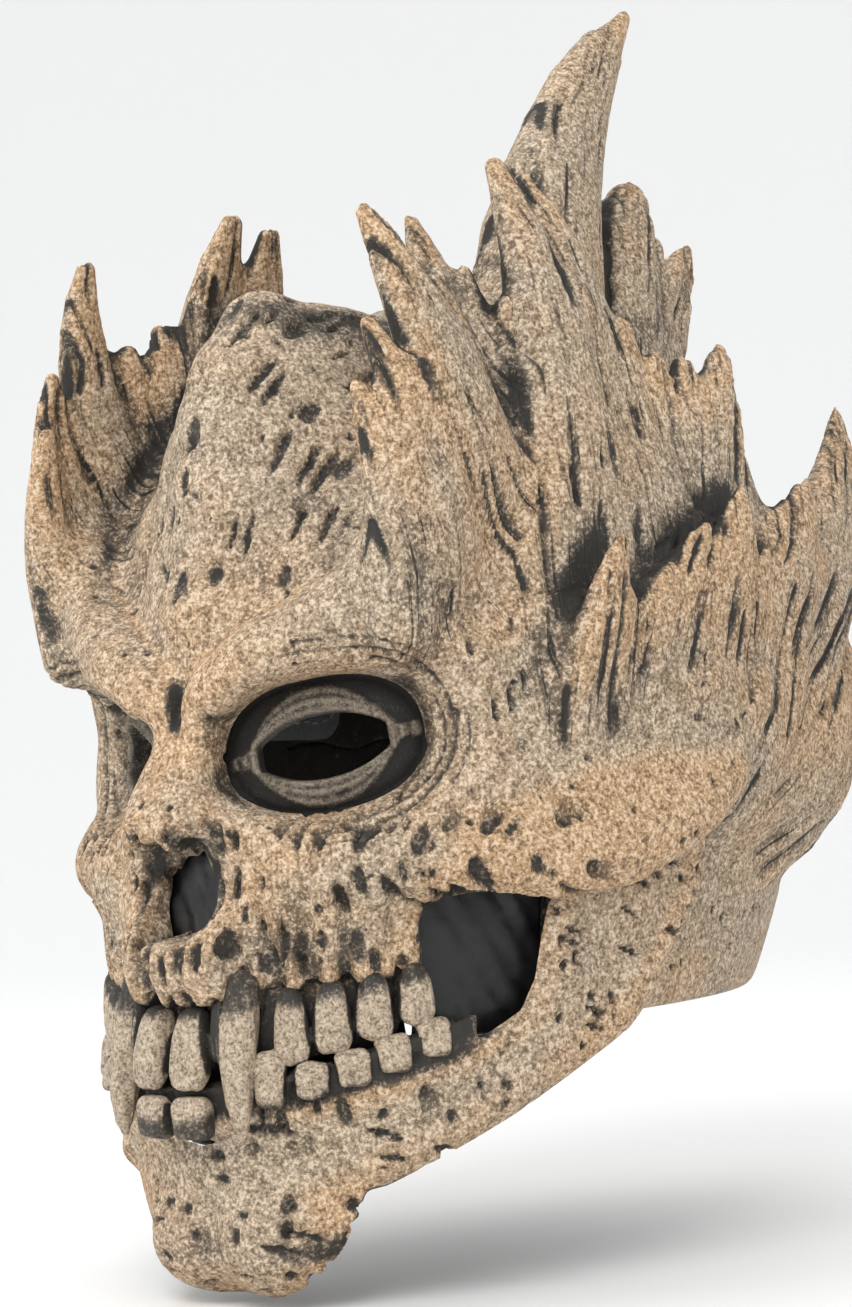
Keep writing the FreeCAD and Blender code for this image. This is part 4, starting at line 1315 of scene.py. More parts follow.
# ------------------------------------------------------------------ teeth, lids and linings
@dataclass(frozen=True)
class ToothForm:
    """One tooth: where it stands, its half sizes and how it leans."""

    place: float
    root: float
    bite: float
    half: float
    depth: float
    stand: float
    lean: float = 0.0
    taper: float = 0.78
    upper: bool = True

    def press(self, clay: Clay, values: Array, head: HeadForm, side: float) -> None:
        """Presses the tooth into the clay.

        Args:
            clay: the grid.
            values: the field, changed in place.
            head: the master surface.
            side: 1 for the left and -1 for the right.
        """
        spot, along, outward = head.gum_spot(self.place * side, -self.stand, -80.0)
        middle = np.array([spot[0], spot[1], (self.root + self.bite) / 2.0])
        tall = abs(self.root - self.bite) / 2.0
        area, (x, y, z) = clay.window(middle - tall, middle + tall, self.half + 4.0)
        down = (middle[2] - z) / tall * (1.0 if self.upper else -1.0)
        dx, dy = x - middle[0], y - middle[1]
        across = dx * along[0] + dy * along[1]
        out = dx * outward[0] + dy * outward[1] - self.lean * (down + 1.0) / 2.0
        girth = self.half * np.interp(down, (-1.0, -0.2, 0.55, 1.0), (self.taper, 0.9, 1.0, 0.86))
        thick = self.depth * np.interp(down, (-1.0, 0.2, 1.0), (1.0, 0.95, 0.62))
        lump = (np.abs(across / girth) ** 3.2 + np.abs(out / thick) ** 2.6 + np.abs(down) ** 5.0) ** (1 / 3.2)
        gap = (lump - 1.0) * self.half * 0.8
        crown = np.cos(across / self.half * 4.4 + self.place) * 0.18 + lattice_line(across * 1.9, self.place) * 0.16
        values[area] = np.minimum(values[area], gap + crown)


def lattice_line(value: Array, seed: float) -> Array:
    """A cheap wavy line between -1 and 1."""
    return np.sin(value * 1.7 + seed) * np.cos(value * 0.9 + 2.1 * seed)


class Teeth:
    """The teeth of both jaws."""

    step = 0.62
    upper_places = ((30.2, 4.7), (38.4, 5.2), (46.0, 5.2), (52.8, 5.0))
    lower_places = ((26.8, 4.6), (35.6, 4.9), (43.6, 5.0), (50.8, 5.0), (57.2, 4.6))

    def __init__(self, head: HeadForm, material: bpy.types.Material) -> None:
        """Keeps the head surface that the gum follows."""
        self.head, self.material = head, material

    def build(self) -> None:
        """Makes each group of teeth."""
        self.group("upper_front_teeth", [ToothForm(6.3, -67, -88.5, 5.5, 4.2, 1.2, 4.5, 0.6), ToothForm(13.6, -65, -82.0, 2.4, 3.4, 1.0, 2.5, 0.8)], (1, -1), Body.SKULL, "upper_incisors")
        self.group(
            "lower_front_teeth", [ToothForm(6.6, -101, -89.7, 5.9, 3.6, 3.4, 1.0, 0.9, False)], (1, -1), Body.JAW,
            "lower_incisors",
        )
        for side, name in ((1.0, "left"), (-1.0, "right")):
            uppers = [self.cheek(place, half, True) for place, half in self.upper_places]
            lowers = [self.cheek(place, half, False) for place, half in self.lower_places]
            self.group("upper_molars_" + name, uppers, (side,), Body.SKULL, "upper_cheek_teeth_" + name)
            self.group("lower_molars_" + name, lowers, (side,), Body.JAW, "lower_cheek_teeth_" + name)
            self.fang(side, name)

    def cheek(self, place_x: float, half: float, upper: bool) -> ToothForm:
        """One cheek tooth at its place along the gum."""
        spot, _, _ = self.head.gum_spot(place_x, 0.0, -80.0)
        bite = line_z(BITE_LINE, spot[1])
        if upper:
            return ToothForm(place_x, line_z(UPPER_GUM, spot[1]) + 2.0, bite + 0.2, half, 3.6, 1.6, 1.2, 0.62)
        tall = 5.5 if place_x < 30 else 0.0
        return ToothForm(place_x, line_z(LOWER_GUM, spot[1]) - 2.0, bite - 0.2 + tall, half, 3.4, 4.2, -1.2, 0.84, False)

    def group(self, name: str, forms: list[ToothForm], sides: tuple, body: Body, node: str) -> None:
        """Makes one group of teeth as one piece.

        Args:
            name: name of the piece.
            forms: the teeth.
            sides: the sides that each stands on.
            body: the body that it rides on.
            node: the plain solids that it stands for.
        """
        spots = [self.head.gum_spot(form.place * side, -6.0, -80.0)[0] for form in forms for side in sides]
        low, high = np.min(spots, axis=0), np.max(spots, axis=0)
        heights = [height for form in forms for height in (form.root, form.bite)]
        low[2], high[2] = min(heights), max(heights)
        clay = Clay(tuple(low - 11.0), tuple(high + 11.0), self.step * (1.0))
        values = np.full(clay.counts, 20.0)
        for form in forms:
            for side in sides:
                form.press(clay, values, self.head, side)
        self.finish(name, clay, values, body, node)

    def fang(self, side: float, name: str) -> None:
        """The long upper fang of one side."""
        rows = np.array(
            [
                (18.2, -117.5, -63, 4.6), (18.8, -119.5, -72, 5.0), (19.8, -121.5, -82, 4.5), (20.6, -122.5, -91, 3.4),
                (21.0, -122.4, -97, 2.2), (21.0, -122.0, -100.2, 1.0),
            ]
        )
        rows[:, 0] *= side
        clay = Clay(tuple(rows[:, :3].min(0) - 8), tuple(rows[:, :3].max(0) + 8), self.step)
        x, y, z = clay.whole()
        values = bar_field(x, y, z, rows[:, :3], rows[:, 3], None, 1.0)
        groove = np.sin(np.arctan2(y + 121.0, x - side * 19.8) * 7.0 + z * 0.05) * 0.22
        self.finish("upper_fang_tooth_" + name, clay, values + groove, Body.SKULL, "upper_fang_" + name)

    def finish(self, name: str, clay: Clay, values: Array, body: Body, node: str) -> None:
        """Skins, tones and places one group."""
        points, faces = clay.skin(values)
        mesh = make_mesh(name, points * MM, faces)
        normal = clay.slope(values, points)
        normal /= np.maximum(np.linalg.norm(normal, axis=1), 1e-6)[:, None]
        # Painted shade: the teeth darken where their neighbours close them in; they also darken towards the gum.
        closed = np.clip(1.0 - clay.read(values, points + normal * 2.2) / 2.2, 0.0, 1.0)
        gum = line_z(UPPER_GUM if body is Body.SKULL else LOWER_GUM, points[:, 1])
        away = (gum - points[:, 2]) * (1.0 if body is Body.SKULL else -1.0)
        add_values(mesh, "wash", np.clip(ramp(closed, 0.1, 0.6) + 0.8 * ramp(away, 4.0, -0.5), 0.0, 1.0))
        place(mesh, self.material, Slot.TEETH, body, node)


class Eyelids:
    """The dark lids behind the sockets: folds in rings round an almond slit."""

    slit_half = (17.0, 8.2)

    def __init__(self, head: HeadForm, orbit: Orbit, material: bpy.types.Material) -> None:
        """Keeps the head surface and the socket."""
        self.head, self.orbit, self.material = head, orbit, material

    def build(self) -> None:
        """Makes both lids."""
        for side, name in ((1.0, "left"), (-1.0, "right")):
            low = np.array([4.0, -126.0, -30.0]) if side > 0 else np.array([-74.0, -126.0, -30.0])
            clay = Clay(tuple(low), tuple(low + (70.0, 62.0, 58.0)), 0.8)
            x, y, z = clay.whole()
            form = true_distance(clay, self.head.field(x, y, z))
            across, up, outward = self.orbit.place(x, y, z, side)
            ring = self.orbit.ring(x, y, z, side)
            bow = np.abs(across / self.slit_half[0])
            almond = np.maximum(np.abs(up + 0.6) / self.slit_half[1] / np.maximum(1.0 - 0.62 * bow**2.2, 0.12), 0.0)
            almond = np.maximum(almond, bow**1.6)
            swell = 5.2 * np.clip(1.0 - (ring / 0.98) ** 2, 0.0, 1.0) ** 0.7
            fold = 0.0
            for radius, width, tall in ((1.13, 0.085, 1.9), (1.42, 0.1, 1.5), (1.75, 0.12, 1.1)):
                fold = fold + tall * np.exp(-(((almond - radius) / width) ** 2))
            face = form + 5.2 - swell - fold
            back = -(form + 9.2)
            slit = (1.0 - almond) * 6.0
            edge = (ring - 1.2) * 20.0
            values = np.maximum(np.maximum(soft_max(face, slit, 1.6), back), np.maximum(edge, -outward - 24.0))
            points, faces = clay.skin(values)
            points, faces = largest_shells(points, faces)
            mesh = make_mesh("eyelid_folds_" + name, points * MM, faces)
            # Painted shade: the lids darken between their folds, and the fold tops keep their own tone.
            rim = clay.read(np.asarray(fold * np.ones(clay.counts)), points)
            add_values(mesh, "wash", np.clip(1.0 - rim / 1.3, 0.0, 1.0))
            place(mesh, self.material, Slot.LID, Body.SKULL, "eyelid_" + name)


class Gauzes:
    """Black gauze stretched behind the nose and the cheek openings, and a black sheet behind the teeth that paints the
    shade inside the mouth.
    """

    def __init__(self, head: HeadForm, material: bpy.types.Material) -> None:
        """Keeps the head surface and the gauze's finish."""
        self.head, self.material = head, material

    def build(self) -> None:
        """Makes the four sheets."""
        # Painted shade: this black sheet behind the teeth stands for no part; it fills the mouth with the dark of its
        # shade.
        self.sheet("mouth_veil", (-45.0, 45.0), (-106.0, -64.0), None, None, 8.6)
        self.sheet("nose_veil", (-17.5, 17.5), (-57.0, -23.5), None, "nose_gauze")
        for side, name in ((1.0, "left"), (-1.0, "right")):
            self.sheet("cheek_veil_" + name, (-90.0, -56.5), (-78.0, -34.0), side, "cheek_gauze_" + name)

    def sheet(self, name: str, wide: tuple, tall: tuple, side: float | None, node: str | None, inset: float = 4.6) -> None:
        """One gauze, puckered where it is glued.

        Args:
            name: name of the piece.
            wide: range of x, or of y where it is on a side.
            tall: range of z.
            side: 1 for the left, -1 for the right, None for the nose.
            node: the plain solid that it stands for, if there is one.
            inset: how far it lies inside the face.
        """
        across, up = 46, 46
        u, v = np.meshgrid(np.linspace(0, 1, across), np.linspace(0, 1, up), indexing="ij")
        a, z = wide[0] + (wide[1] - wide[0]) * u, tall[0] + (tall[1] - tall[0]) * v
        grid = np.stack([a, z, 0 * a], -1).reshape(-1, 3)
        pucker = layered_noise(grid / 9.0, 201, 3) * 1.1 + np.sin(grid[:, 0] * 0.9 + grid[:, 1] * 0.5) * 0.25
        rows = []
        for (place_a, place_z, _), rise in zip(grid, pucker):
            if side is None:
                spot, _, outward = self.head.gum_spot(place_a, inset, place_z)
                rows.append(spot + outward * rise * 0.8)
            else:
                x, y, level = self.head.on_side(place_a, place_z, -4.4 + rise * 0.8)
                rows.append(np.array([x * side, y, level]))
        front = np.array(rows)
        number = np.arange(across * up).reshape(across, up)
        faces = np.stack(
            [number[:-1, :-1].ravel(), number[1:, :-1].ravel(), number[1:, 1:].ravel(), number[:-1, 1:].ravel()], 1,
        )
        if side is not None and side > 0:
            faces = faces[:, ::-1]
        mesh = make_mesh(name, front * MM, faces)
        piece = place(mesh, self.material, Slot.GAUZE, Body.SKULL, *([node] if node else []))
        solid = piece.modifiers.new("cloth", "SOLIDIFY")
        solid.thickness, solid.offset = 0.0005, 0.0
        steps_a = np.linalg.norm(np.diff(front.reshape(across, up, 3), axis=0), axis=2).sum(0).max()
        steps_b = np.linalg.norm(np.diff(front.reshape(across, up, 3), axis=1), axis=2).sum(1).max()


class Linings:
    """Foam pads inside the head and the cup on the chin, each stitched round its edge."""

    skin_side = 3.6
    thickness = 8.4
    shapes = {
        "forehead_pad": ((-45, 45), (-140, -30), (38, 70)),
        "crown_pad": ((-32, 32), (-34, 40), (60, 140)),
        "nape_pad": ((-40, 40), (60, 140), (-58, -12)),
        "temple_pad_left": ((40, 100), (-28, 26), (1, 51)),
        "temple_pad_right": ((-100, -40), (-28, 26), (1, 51)),
    }

    def __init__(self, head: HeadForm, material: bpy.types.Material, thread: bpy.types.Material) -> None:
        """Keeps the head surface and the finishes."""
        self.head, self.material, self.thread = head, material, thread

    def build(self) -> None:
        """Makes every pad."""
        for node, ranges in self.shapes.items():
            self.pad(node, ranges, self.skin_side, self.thickness, Body.SKULL)
        self.pad("chin_cup", ((-30, 30), (-140, -84), (-128, -104)), -2.4, 7.2, Body.JAW)

    def pad(self, node: str, ranges: tuple, near: float, thick: float, body: Body) -> None:
        """One crowned pad.

        Args:
            node: the plain solid that it stands for.
            ranges: lowest and highest x, y and z.
            near: how far inside the head surface its outer face lies.
            thick: its thickness.
            body: the body that it rides on.
        """
        low, high = (Array_of(pair[i] for pair in ranges) for i in (0, 1))
        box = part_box(node)
        clay = Clay(tuple(np.array(box[0]) / MM - 5.0), tuple(np.array(box[1]) / MM + 5.0), 1.5)
        x, y, z = clay.whole()
        form = true_distance(clay, self.head.field(x, y, z))
        sides = [low[0] - x, x - high[0], low[2] - z, z - high[2]]
        if body is Body.SKULL and "crown" in node:
            sides += [low[1] - y, y - high[1]]
            sides = [side for i, side in enumerate(sides) if i not in (2, 3)]
        elif "temple" in node:
            sides = [low[1] - y, y - high[1], low[2] - z, z - high[2]]
        edge = sides[0] * np.ones(clay.counts)
        for side in sides[1:]:
            edge = soft_max(edge, side * np.ones(clay.counts), 9.0)
        if "temple" in node:
            edge = np.maximum(edge, 30.0 - np.abs(x))
        elif "nape" in node:
            edge = np.maximum(edge, 30.0 - y)
        elif "crown" not in node:
            edge = np.maximum(edge, y + 10.0)
        crown = thick * (1.0 - 0.5 * np.exp(np.clip(edge + 1.0, -40.0, 0.0) / 5.0))
        slab = np.maximum(form + near, -(form + near + crown))
        values = soft_max(slab, edge + 0.3, 4.0)
        points, faces = clay.skin(values)
        mesh = make_mesh(node + "_foam", points * MM, faces)
        piece = place(mesh, self.material, Slot.FOAM, body, node)
        self.stitch(node, clay, values, edge, points, faces, body)

    def stitch(self, node: str, clay: Clay, values: Array, edge: Array, points: Array, faces: Array, body: Body) -> None:
        """Sews a line of thread round the pad, a little inside its edge.

        Args:
            node: the pad's name.
            clay: its grid.
            values: its field.
            edge: distance from its sides.
            points: corners of its skin.
            faces: faces of its skin; not used.
            body: the body that it rides on.
        """
        depth = clay.read(edge, points)
        form = clay.read(values, points)
        inner = clay.slope(values, points)
        middle = points.mean(0)
        toward = (inner * (np.zeros(3) - middle)).sum(1) > 0
        band = np.flatnonzero((np.abs(depth + 6.0) < 0.8) & toward & (np.abs(form) < 1.0))
        if len(band) < 20:
            return
        ring = points[band]
        centre = ring.mean(0)
        _, _, axes = np.linalg.svd(ring - centre, full_matrices=False)
        angle = np.arctan2((ring - centre) @ axes[1], (ring - centre) @ axes[0])
        slots = np.linspace(-math.pi, math.pi, 73)
        path = [ring[(angle >= a) & (angle < b)].mean(0) for a, b in zip(slots, slots[1:]) if ((angle >= a) & (angle < b)).any()]
        curve = bpy.data.curves.new(node + "_seam", "CURVE")
        curve.dimensions = "3D"
        spline = curve.splines.new("POLY")
        spline.points.add(len(path) - 1)
        for point, spot in zip(spline.points, path):
            point.co = (*(spot * MM), 1.0)
        spline.use_cyclic_u = True
        stitches = ThreadTree.get(self.thread).sew(curve, node + "_stitches")
        place(stitches, self.thread, Slot.FOAM, body)


def Array_of(values: object) -> Array:
    """Numbers as an array."""
    return np.array(list(values), float)


class ThreadTree:
    """Geometry Nodes that lay stitches along a curve."""

    made: "ThreadTree | None" = None

    @classmethod
    def get(cls, material: bpy.types.Material) -> "ThreadTree":
        """The one tree, made the first time."""
        if cls.made is None:
            cls.made = cls(material)
        return cls.made

    def __init__(self, material: bpy.types.Material) -> None:
        """Builds the tree."""
        tree = bpy.data.node_groups.new("stitches", "GeometryNodeTree")
        self.tree = tree
        tree.interface.new_socket("Geometry", in_out="INPUT", socket_type="NodeSocketGeometry")
        self.pitch = tree.interface.new_socket("Pitch", in_out="INPUT", socket_type="NodeSocketFloat")
        self.length = tree.interface.new_socket("Stitch Length", in_out="INPUT", socket_type="NodeSocketFloat")
        self.girth = tree.interface.new_socket("Thread Radius", in_out="INPUT", socket_type="NodeSocketFloat")
        tree.interface.new_socket("Geometry", in_out="OUTPUT", socket_type="NodeSocketGeometry")
        add, link = tree.nodes.new, tree.links.new
        given, out = add("NodeGroupInput"), add("NodeGroupOutput")
        spread = add("GeometryNodeResampleCurve")
        spread.mode = "LENGTH"
        points = add("GeometryNodeInstanceOnPoints")
        tangent, turn = add("GeometryNodeInputTangent"), add("FunctionNodeAlignRotationToVector")
        turn.axis = "X"
        ball, scale = add("GeometryNodeMeshUVSphere"), add("GeometryNodeTransform")
        ball.inputs["Segments"].default_value, ball.inputs["Rings"].default_value = 8, 5
        size = add("ShaderNodeCombineXYZ")
        link(given.outputs["Geometry"], spread.inputs["Curve"])
        link(given.outputs["Pitch"], spread.inputs["Length"])
        link(spread.outputs["Curve"], points.inputs["Points"])
        link(tangent.outputs["Tangent"], turn.inputs["Vector"])
        link(turn.outputs["Rotation"], points.inputs["Rotation"])
        link(given.outputs["Stitch Length"], size.inputs["X"])
        link(given.outputs["Thread Radius"], size.inputs["Y"])
        link(given.outputs["Thread Radius"], size.inputs["Z"])
        link(ball.outputs["Mesh"], scale.inputs["Geometry"])
        link(size.outputs["Vector"], scale.inputs["Scale"])
        link(scale.outputs["Geometry"], points.inputs["Instance"])
        real, paint = add("GeometryNodeRealizeInstances"), add("GeometryNodeSetMaterial")
        paint.inputs["Material"].default_value = material
        link(points.outputs["Instances"], real.inputs["Geometry"])
        link(real.outputs["Geometry"], paint.inputs["Geometry"])
        link(paint.outputs["Geometry"], out.inputs["Geometry"])

    def sew(self, curve: bpy.types.Curve, name: str) -> bpy.types.Mesh:
        """Stitches along a curve, as a plain mesh.

        Args:
            curve: the seam.
            name: name of the mesh.

        Returns:
            The mesh of all its stitches.
        """
        holder = bpy.data.objects.new(name + "_seam", curve)
        bpy.context.scene.collection.objects.link(holder)
        modifier = holder.modifiers.new("sew", "NODES")
        modifier.node_group = self.tree
        modifier[self.pitch.identifier] = 0.0042
        modifier[self.length.identifier] = 0.0015
        modifier[self.girth.identifier] = 0.0004
        evaluated = holder.evaluated_get(bpy.context.evaluated_depsgraph_get())
        mesh = bpy.data.meshes.new_from_object(evaluated)
        mesh.name = name
        mesh.shade_smooth()
        bpy.data.objects.remove(holder)
        return mesh


class JawElastics:
    """Flat ribbed elastics that pull the jaw shut, one on each side."""

    upper = (-54.0, -25.5)
    lower = (-52.0, -60.0)
    width = 9.0
    thickness = 1.1

    def __init__(self, head: HeadForm, material: bpy.types.Material) -> None:
        """Keeps the head surface and the finish."""
        self.head, self.material = head, material

    def build(self) -> None:
        """Makes both elastics."""
        for side, name in ((1.0, "left"), (-1.0, "right")):
            along, across = 70, 13
            length = math.dist(self.upper, self.lower) + self.width * 0.7
            rows = []
            for i in range(along):
                share = i / (along - 1)
                for j in range(across):
                    offset = (j / (across - 1) - 0.5) * (self.width - 0.6)
                    reach = (share - 0.5) * length / math.dist(self.upper, self.lower) + 0.5
                    y = self.upper[0] + (self.lower[0] - self.upper[0]) * reach + offset
                    z = self.upper[1] + (self.lower[1] - self.upper[1]) * reach
                    rib = 0.1 * math.sin(j * math.pi)
                    x, py, pz = self.head.on_side(y, z, 1.5 + rib)
                    rows.append((x * side, py, pz))
            number = np.arange(along * across).reshape(along, across)
            faces = np.stack(
                [number[:-1, :-1].ravel(), number[1:, :-1].ravel(), number[1:, 1:].ravel(), number[:-1, 1:].ravel()], 1,
            )
            mesh = make_mesh("jaw_strap_" + name, np.array(rows) * MM, faces if side > 0 else faces[:, ::-1])
            piece = bpy.data.objects.new(mesh.name, mesh)
            bpy.context.scene.collection.objects.link(piece)
            mesh.materials.append(self.material)
            solid = piece.modifiers.new("strap", "SOLIDIFY")
            solid.thickness, solid.offset = self.thickness * MM, 0.0
            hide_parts("jaw_elastic_" + name)
            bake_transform(piece)
            LOG.info("%s: %d faces", piece.name, len(mesh.polygons))


# ------------------------------------------------------------------ finishes
class Paint:
    """Short ways to add and join shader nodes."""

    def __init__(self, tree: bpy.types.NodeTree) -> None:
        """Works on one tree."""
        self.tree = tree

    def node(self, kind: str, values: dict | None = None, **settings: object) -> bpy.types.Node:
        """A node with its settings and its inputs.

        Args:
            kind: the node's type.
            values: what goes into each input: a number, a colour or a socket.
            settings: the node's own settings.

        Returns:
            The node.
        """
        made = self.tree.nodes.new(kind)
        for key, value in settings.items():
            setattr(made, key, value)
        for key, value in (values or {}).items():
            if isinstance(value, bpy.types.NodeSocket):
                self.tree.links.new(value, made.inputs[key])
            else:
                made.inputs[key].default_value = value
        return made

    def sum(self, operation: str, a: object, b: object = 0.0, c: object = 0.0) -> bpy.types.NodeSocket:
        """One step of arithmetic."""
        return self.node("ShaderNodeMath", {0: a, 1: b, 2: c}, operation=operation).outputs[0]

    def step(self, value: object, start: float, end: float, low: float = 0.0, high: float = 1.0) -> bpy.types.NodeSocket:
        """A smooth step from low to high between start and end."""
        values = {"Value": value, "From Min": start, "From Max": end, "To Min": low, "To Max": high}
        return self.node("ShaderNodeMapRange", values, interpolation_type="SMOOTHSTEP").outputs["Result"]

    def mix(self, share: object, a: object, b: object, blend: str = "MIX") -> bpy.types.NodeSocket:
        """A mix of two colours."""
        made = self.node("ShaderNodeMix", {0: share}, data_type="RGBA", blend_type=blend)
        for key, value in ((6, a), (7, b)):
            if isinstance(value, bpy.types.NodeSocket):
                self.tree.links.new(value, made.inputs[key])
            else:
                made.inputs[key].default_value = (*value, 1.0)
        return made.outputs[2]

    def noise(self, where: object, scale: float, detail: float = 3.0, rough: float = 0.6) -> bpy.types.NodeSocket:
        """Noise at a place."""
        values = {"Vector": where, "Scale": scale, "Detail": detail, "Roughness": rough}
        return self.node("ShaderNodeTexNoise", values).outputs["Fac"]

    def attribute(self, name: str, output: str = "Fac") -> bpy.types.NodeSocket:
        """A value stored on the mesh."""
        return self.node("ShaderNodeAttribute", attribute_name=name).outputs[output]

    def here(self) -> bpy.types.NodeSocket:
        """The place on the object."""
        return self.node("ShaderNodeTexCoord").outputs["Object"]


def sand_group() -> bpy.types.NodeTree:
    """Sandy speckle shared by every cast finish: a light mask, a dark mask and a height."""
    tree = bpy.data.node_groups.get("sandy_speckle")
    if tree:
        return tree
    tree = bpy.data.node_groups.new("sandy_speckle", "ShaderNodeTree")
    tree.interface.new_socket("Vector", in_out="INPUT", socket_type="NodeSocketVector")
    tree.interface.new_socket("Grain Scale", in_out="INPUT", socket_type="NodeSocketFloat")
    for name in ("Light", "Dark", "Height"):
        tree.interface.new_socket(name, in_out="OUTPUT", socket_type="NodeSocketFloat")
    paint = Paint(tree)
    given, out = tree.nodes.new("NodeGroupInput"), tree.nodes.new("NodeGroupOutput")
    where, scale = given.outputs["Vector"], given.outputs["Grain Scale"]
    fine = paint.noise(where, scale, 2.0, 0.7)
    coarse = paint.noise(where, paint.sum("MULTIPLY", scale, 0.42), 2.0, 0.6)
    both = paint.sum("ADD", paint.sum("MULTIPLY", fine, 0.65), paint.sum("MULTIPLY", coarse, 0.35))
    tree.links.new(paint.step(both, 0.505, 0.6), out.inputs["Light"])
    tree.links.new(paint.step(both, 0.49, 0.39), out.inputs["Dark"])
    tree.links.new(both, out.inputs["Height"])
    return tree


Colour = tuple[float, float, float]


@dataclass(frozen=True)
class CastFinish:
    """Cast latex with sandy speckle, brushed with a dark wash that also stands for painted shade in its hollows, and a
    warm tone with a painted highlight on raised places.
    """

    name: str
    base: Colour
    warm_and_highlight: Colour
    dark: Colour
    pale: Colour
    grain: float = 1050.0
    roughness: float = 0.72
    wash_and_shade_strength: float = 1.0
    bump: float = 0.00012

    def build(self) -> bpy.types.Material:
        """Makes the material."""
        material = bpy.data.materials.new(self.name)
        material.use_nodes = True
        paint = Paint(material.node_tree)
        shader = material.node_tree.nodes["Principled BSDF"]
        where = paint.here()
        sand = paint.node("ShaderNodeGroup", node_tree=sand_group())
        material.node_tree.links.new(where, sand.inputs["Vector"])
        sand.inputs["Grain Scale"].default_value = self.grain
        light, dark, height = (sand.outputs[key] for key in ("Light", "Dark", "Height"))
        drift = paint.noise(where, 26.0, 3.0, 0.55)
        # Warmer tone on raised places: partly tan paint, partly a painted highlight.
        warmth_and_highlight = paint.sum("ADD", paint.attribute("warm_and_highlight"), paint.sum("MULTIPLY", paint.sum("SUBTRACT", drift, 0.5), 1.1))
        tone = paint.mix(paint.step(warmth_and_highlight, 0.1, 0.85), self.base, self.warm_and_highlight)
        tone = paint.mix(paint.sum("MULTIPLY", light, 0.7), tone, self.pale)
        brown = tuple(0.2 * a + 0.8 * b for a, b in zip(self.warm_and_highlight, self.dark))
        tone = paint.mix(paint.sum("MULTIPLY", dark, 0.85), tone, brown)
        flow = paint.attribute("flow", "Vector")
        parts = paint.node("ShaderNodeSeparateXYZ", {0: flow})
        lines = paint.node("ShaderNodeCombineXYZ", {0: paint.sum("MULTIPLY", parts.outputs[0], 520.0), 1: paint.sum("MULTIPLY", parts.outputs[1], 30.0)})
        streak = paint.noise(lines.outputs[0], 1.0, 4.0, 0.62)
        brushed = paint.sum("MULTIPLY", paint.step(streak, 0.53, 0.68), parts.outputs[2])
        smear = paint.noise(where, 190.0, 4.0, 0.65)
        # Darkening from the stored value, the gum, the streaks along the grooves, smears and dirt: partly a dark wash
        # and dirt, partly painted shade in hollows and grooves.
        wash = paint.sum("MAXIMUM", paint.attribute("wash"), paint.attribute("gum"))
        wash = paint.sum("ADD", wash, paint.sum("MULTIPLY", brushed, 0.6))
        wash = paint.sum("ADD", wash, paint.sum("MULTIPLY", paint.sum("SUBTRACT", smear, 0.5), 0.8))
        dirt = paint.step(paint.noise(where, 62.0, 6.0, 0.7), 0.55, 0.74)
        wash = paint.sum("ADD", wash, paint.sum("MULTIPLY", dirt, 0.3))
        wash = paint.sum("SUBTRACT", wash, paint.sum("MULTIPLY", light, 0.16))
        mask = paint.sum("MULTIPLY", paint.step(wash, 0.12, 0.92), self.wash_and_shade_strength)
        tone = paint.mix(mask, tone, self.dark)
        material.node_tree.links.new(tone, shader.inputs["Base Color"])
        shader.inputs["Roughness"].default_value = self.roughness
        shader.inputs["Specular IOR Level"].default_value = 0.28
        relief = paint.sum("ADD", height, paint.sum("MULTIPLY", brushed, -1.6))
        bump = paint.node("ShaderNodeBump", {"Height": relief, "Distance": self.bump * 3.0, "Strength": 0.8})
        material.node_tree.links.new(bump.outputs["Normal"], shader.inputs["Normal"])
        return material


@dataclass(frozen=True)
class PlainFinish:
    """A finish with fine mottling and a weave, ribs or grain in its bump."""

    name: str
    colour: Colour
    second: Colour
    roughness: float
    scale: float
    metallic: float = 0.0
    coat: float = 0.0
    bump: float = 0.0002
    weave: bool = False

    def build(self) -> bpy.types.Material:
        """Makes the material."""
        material = bpy.data.materials.new(self.name)
        material.use_nodes = True
        paint = Paint(material.node_tree)
        shader = material.node_tree.nodes["Principled BSDF"]
        where = paint.here()
        grain = paint.noise(where, self.scale, 4.0, 0.6)
        height = grain
        if self.weave:
            parts = paint.node("ShaderNodeSeparateXYZ", {0: where})
            rows = [paint.sum("SINE", paint.sum("MULTIPLY", parts.outputs[i], self.scale * 2.0)) for i in (1, 2)]
            height = paint.sum("ADD", paint.sum("MULTIPLY", rows[0], rows[1]), grain)
        tone = paint.mix(paint.step(grain, 0.35, 0.65), self.colour, self.second)
        material.node_tree.links.new(tone, shader.inputs["Base Color"])
        rough = paint.step(grain, 0.3, 0.7, self.roughness * 0.8, min(1.0, self.roughness * 1.2))
        material.node_tree.links.new(rough, shader.inputs["Roughness"])
        shader.inputs["Metallic"].default_value = self.metallic
        shader.inputs["Coat Weight"].default_value = self.coat
        bump = paint.node("ShaderNodeBump", {"Height": height, "Distance": self.bump, "Strength": 0.7})
        material.node_tree.links.new(bump.outputs["Normal"], shader.inputs["Normal"])
        return material


# In the cast finishes the dark colour is laid in hollows and grooves, as a dark wash and as painted shade; the warm one
# goes on raised places, as tan paint and a painted highlight.
BONE = CastFinish("sandy_bone", (0.33, 0.26, 0.185), (0.43, 0.275, 0.15), (0.03, 0.027, 0.023), (0.74, 0.6, 0.45))
TOOTH = CastFinish(
    "stained_teeth", (0.36, 0.285, 0.205), (0.44, 0.32, 0.21), (0.03, 0.027, 0.023), (0.62, 0.5, 0.38), 1300.0, 0.55,
)
LID = CastFinish(
    "charcoal_lids", (0.2, 0.165, 0.125), (0.24, 0.19, 0.14), (0.022, 0.021, 0.02), (0.3, 0.25, 0.19), 1500.0, 0.62,
)
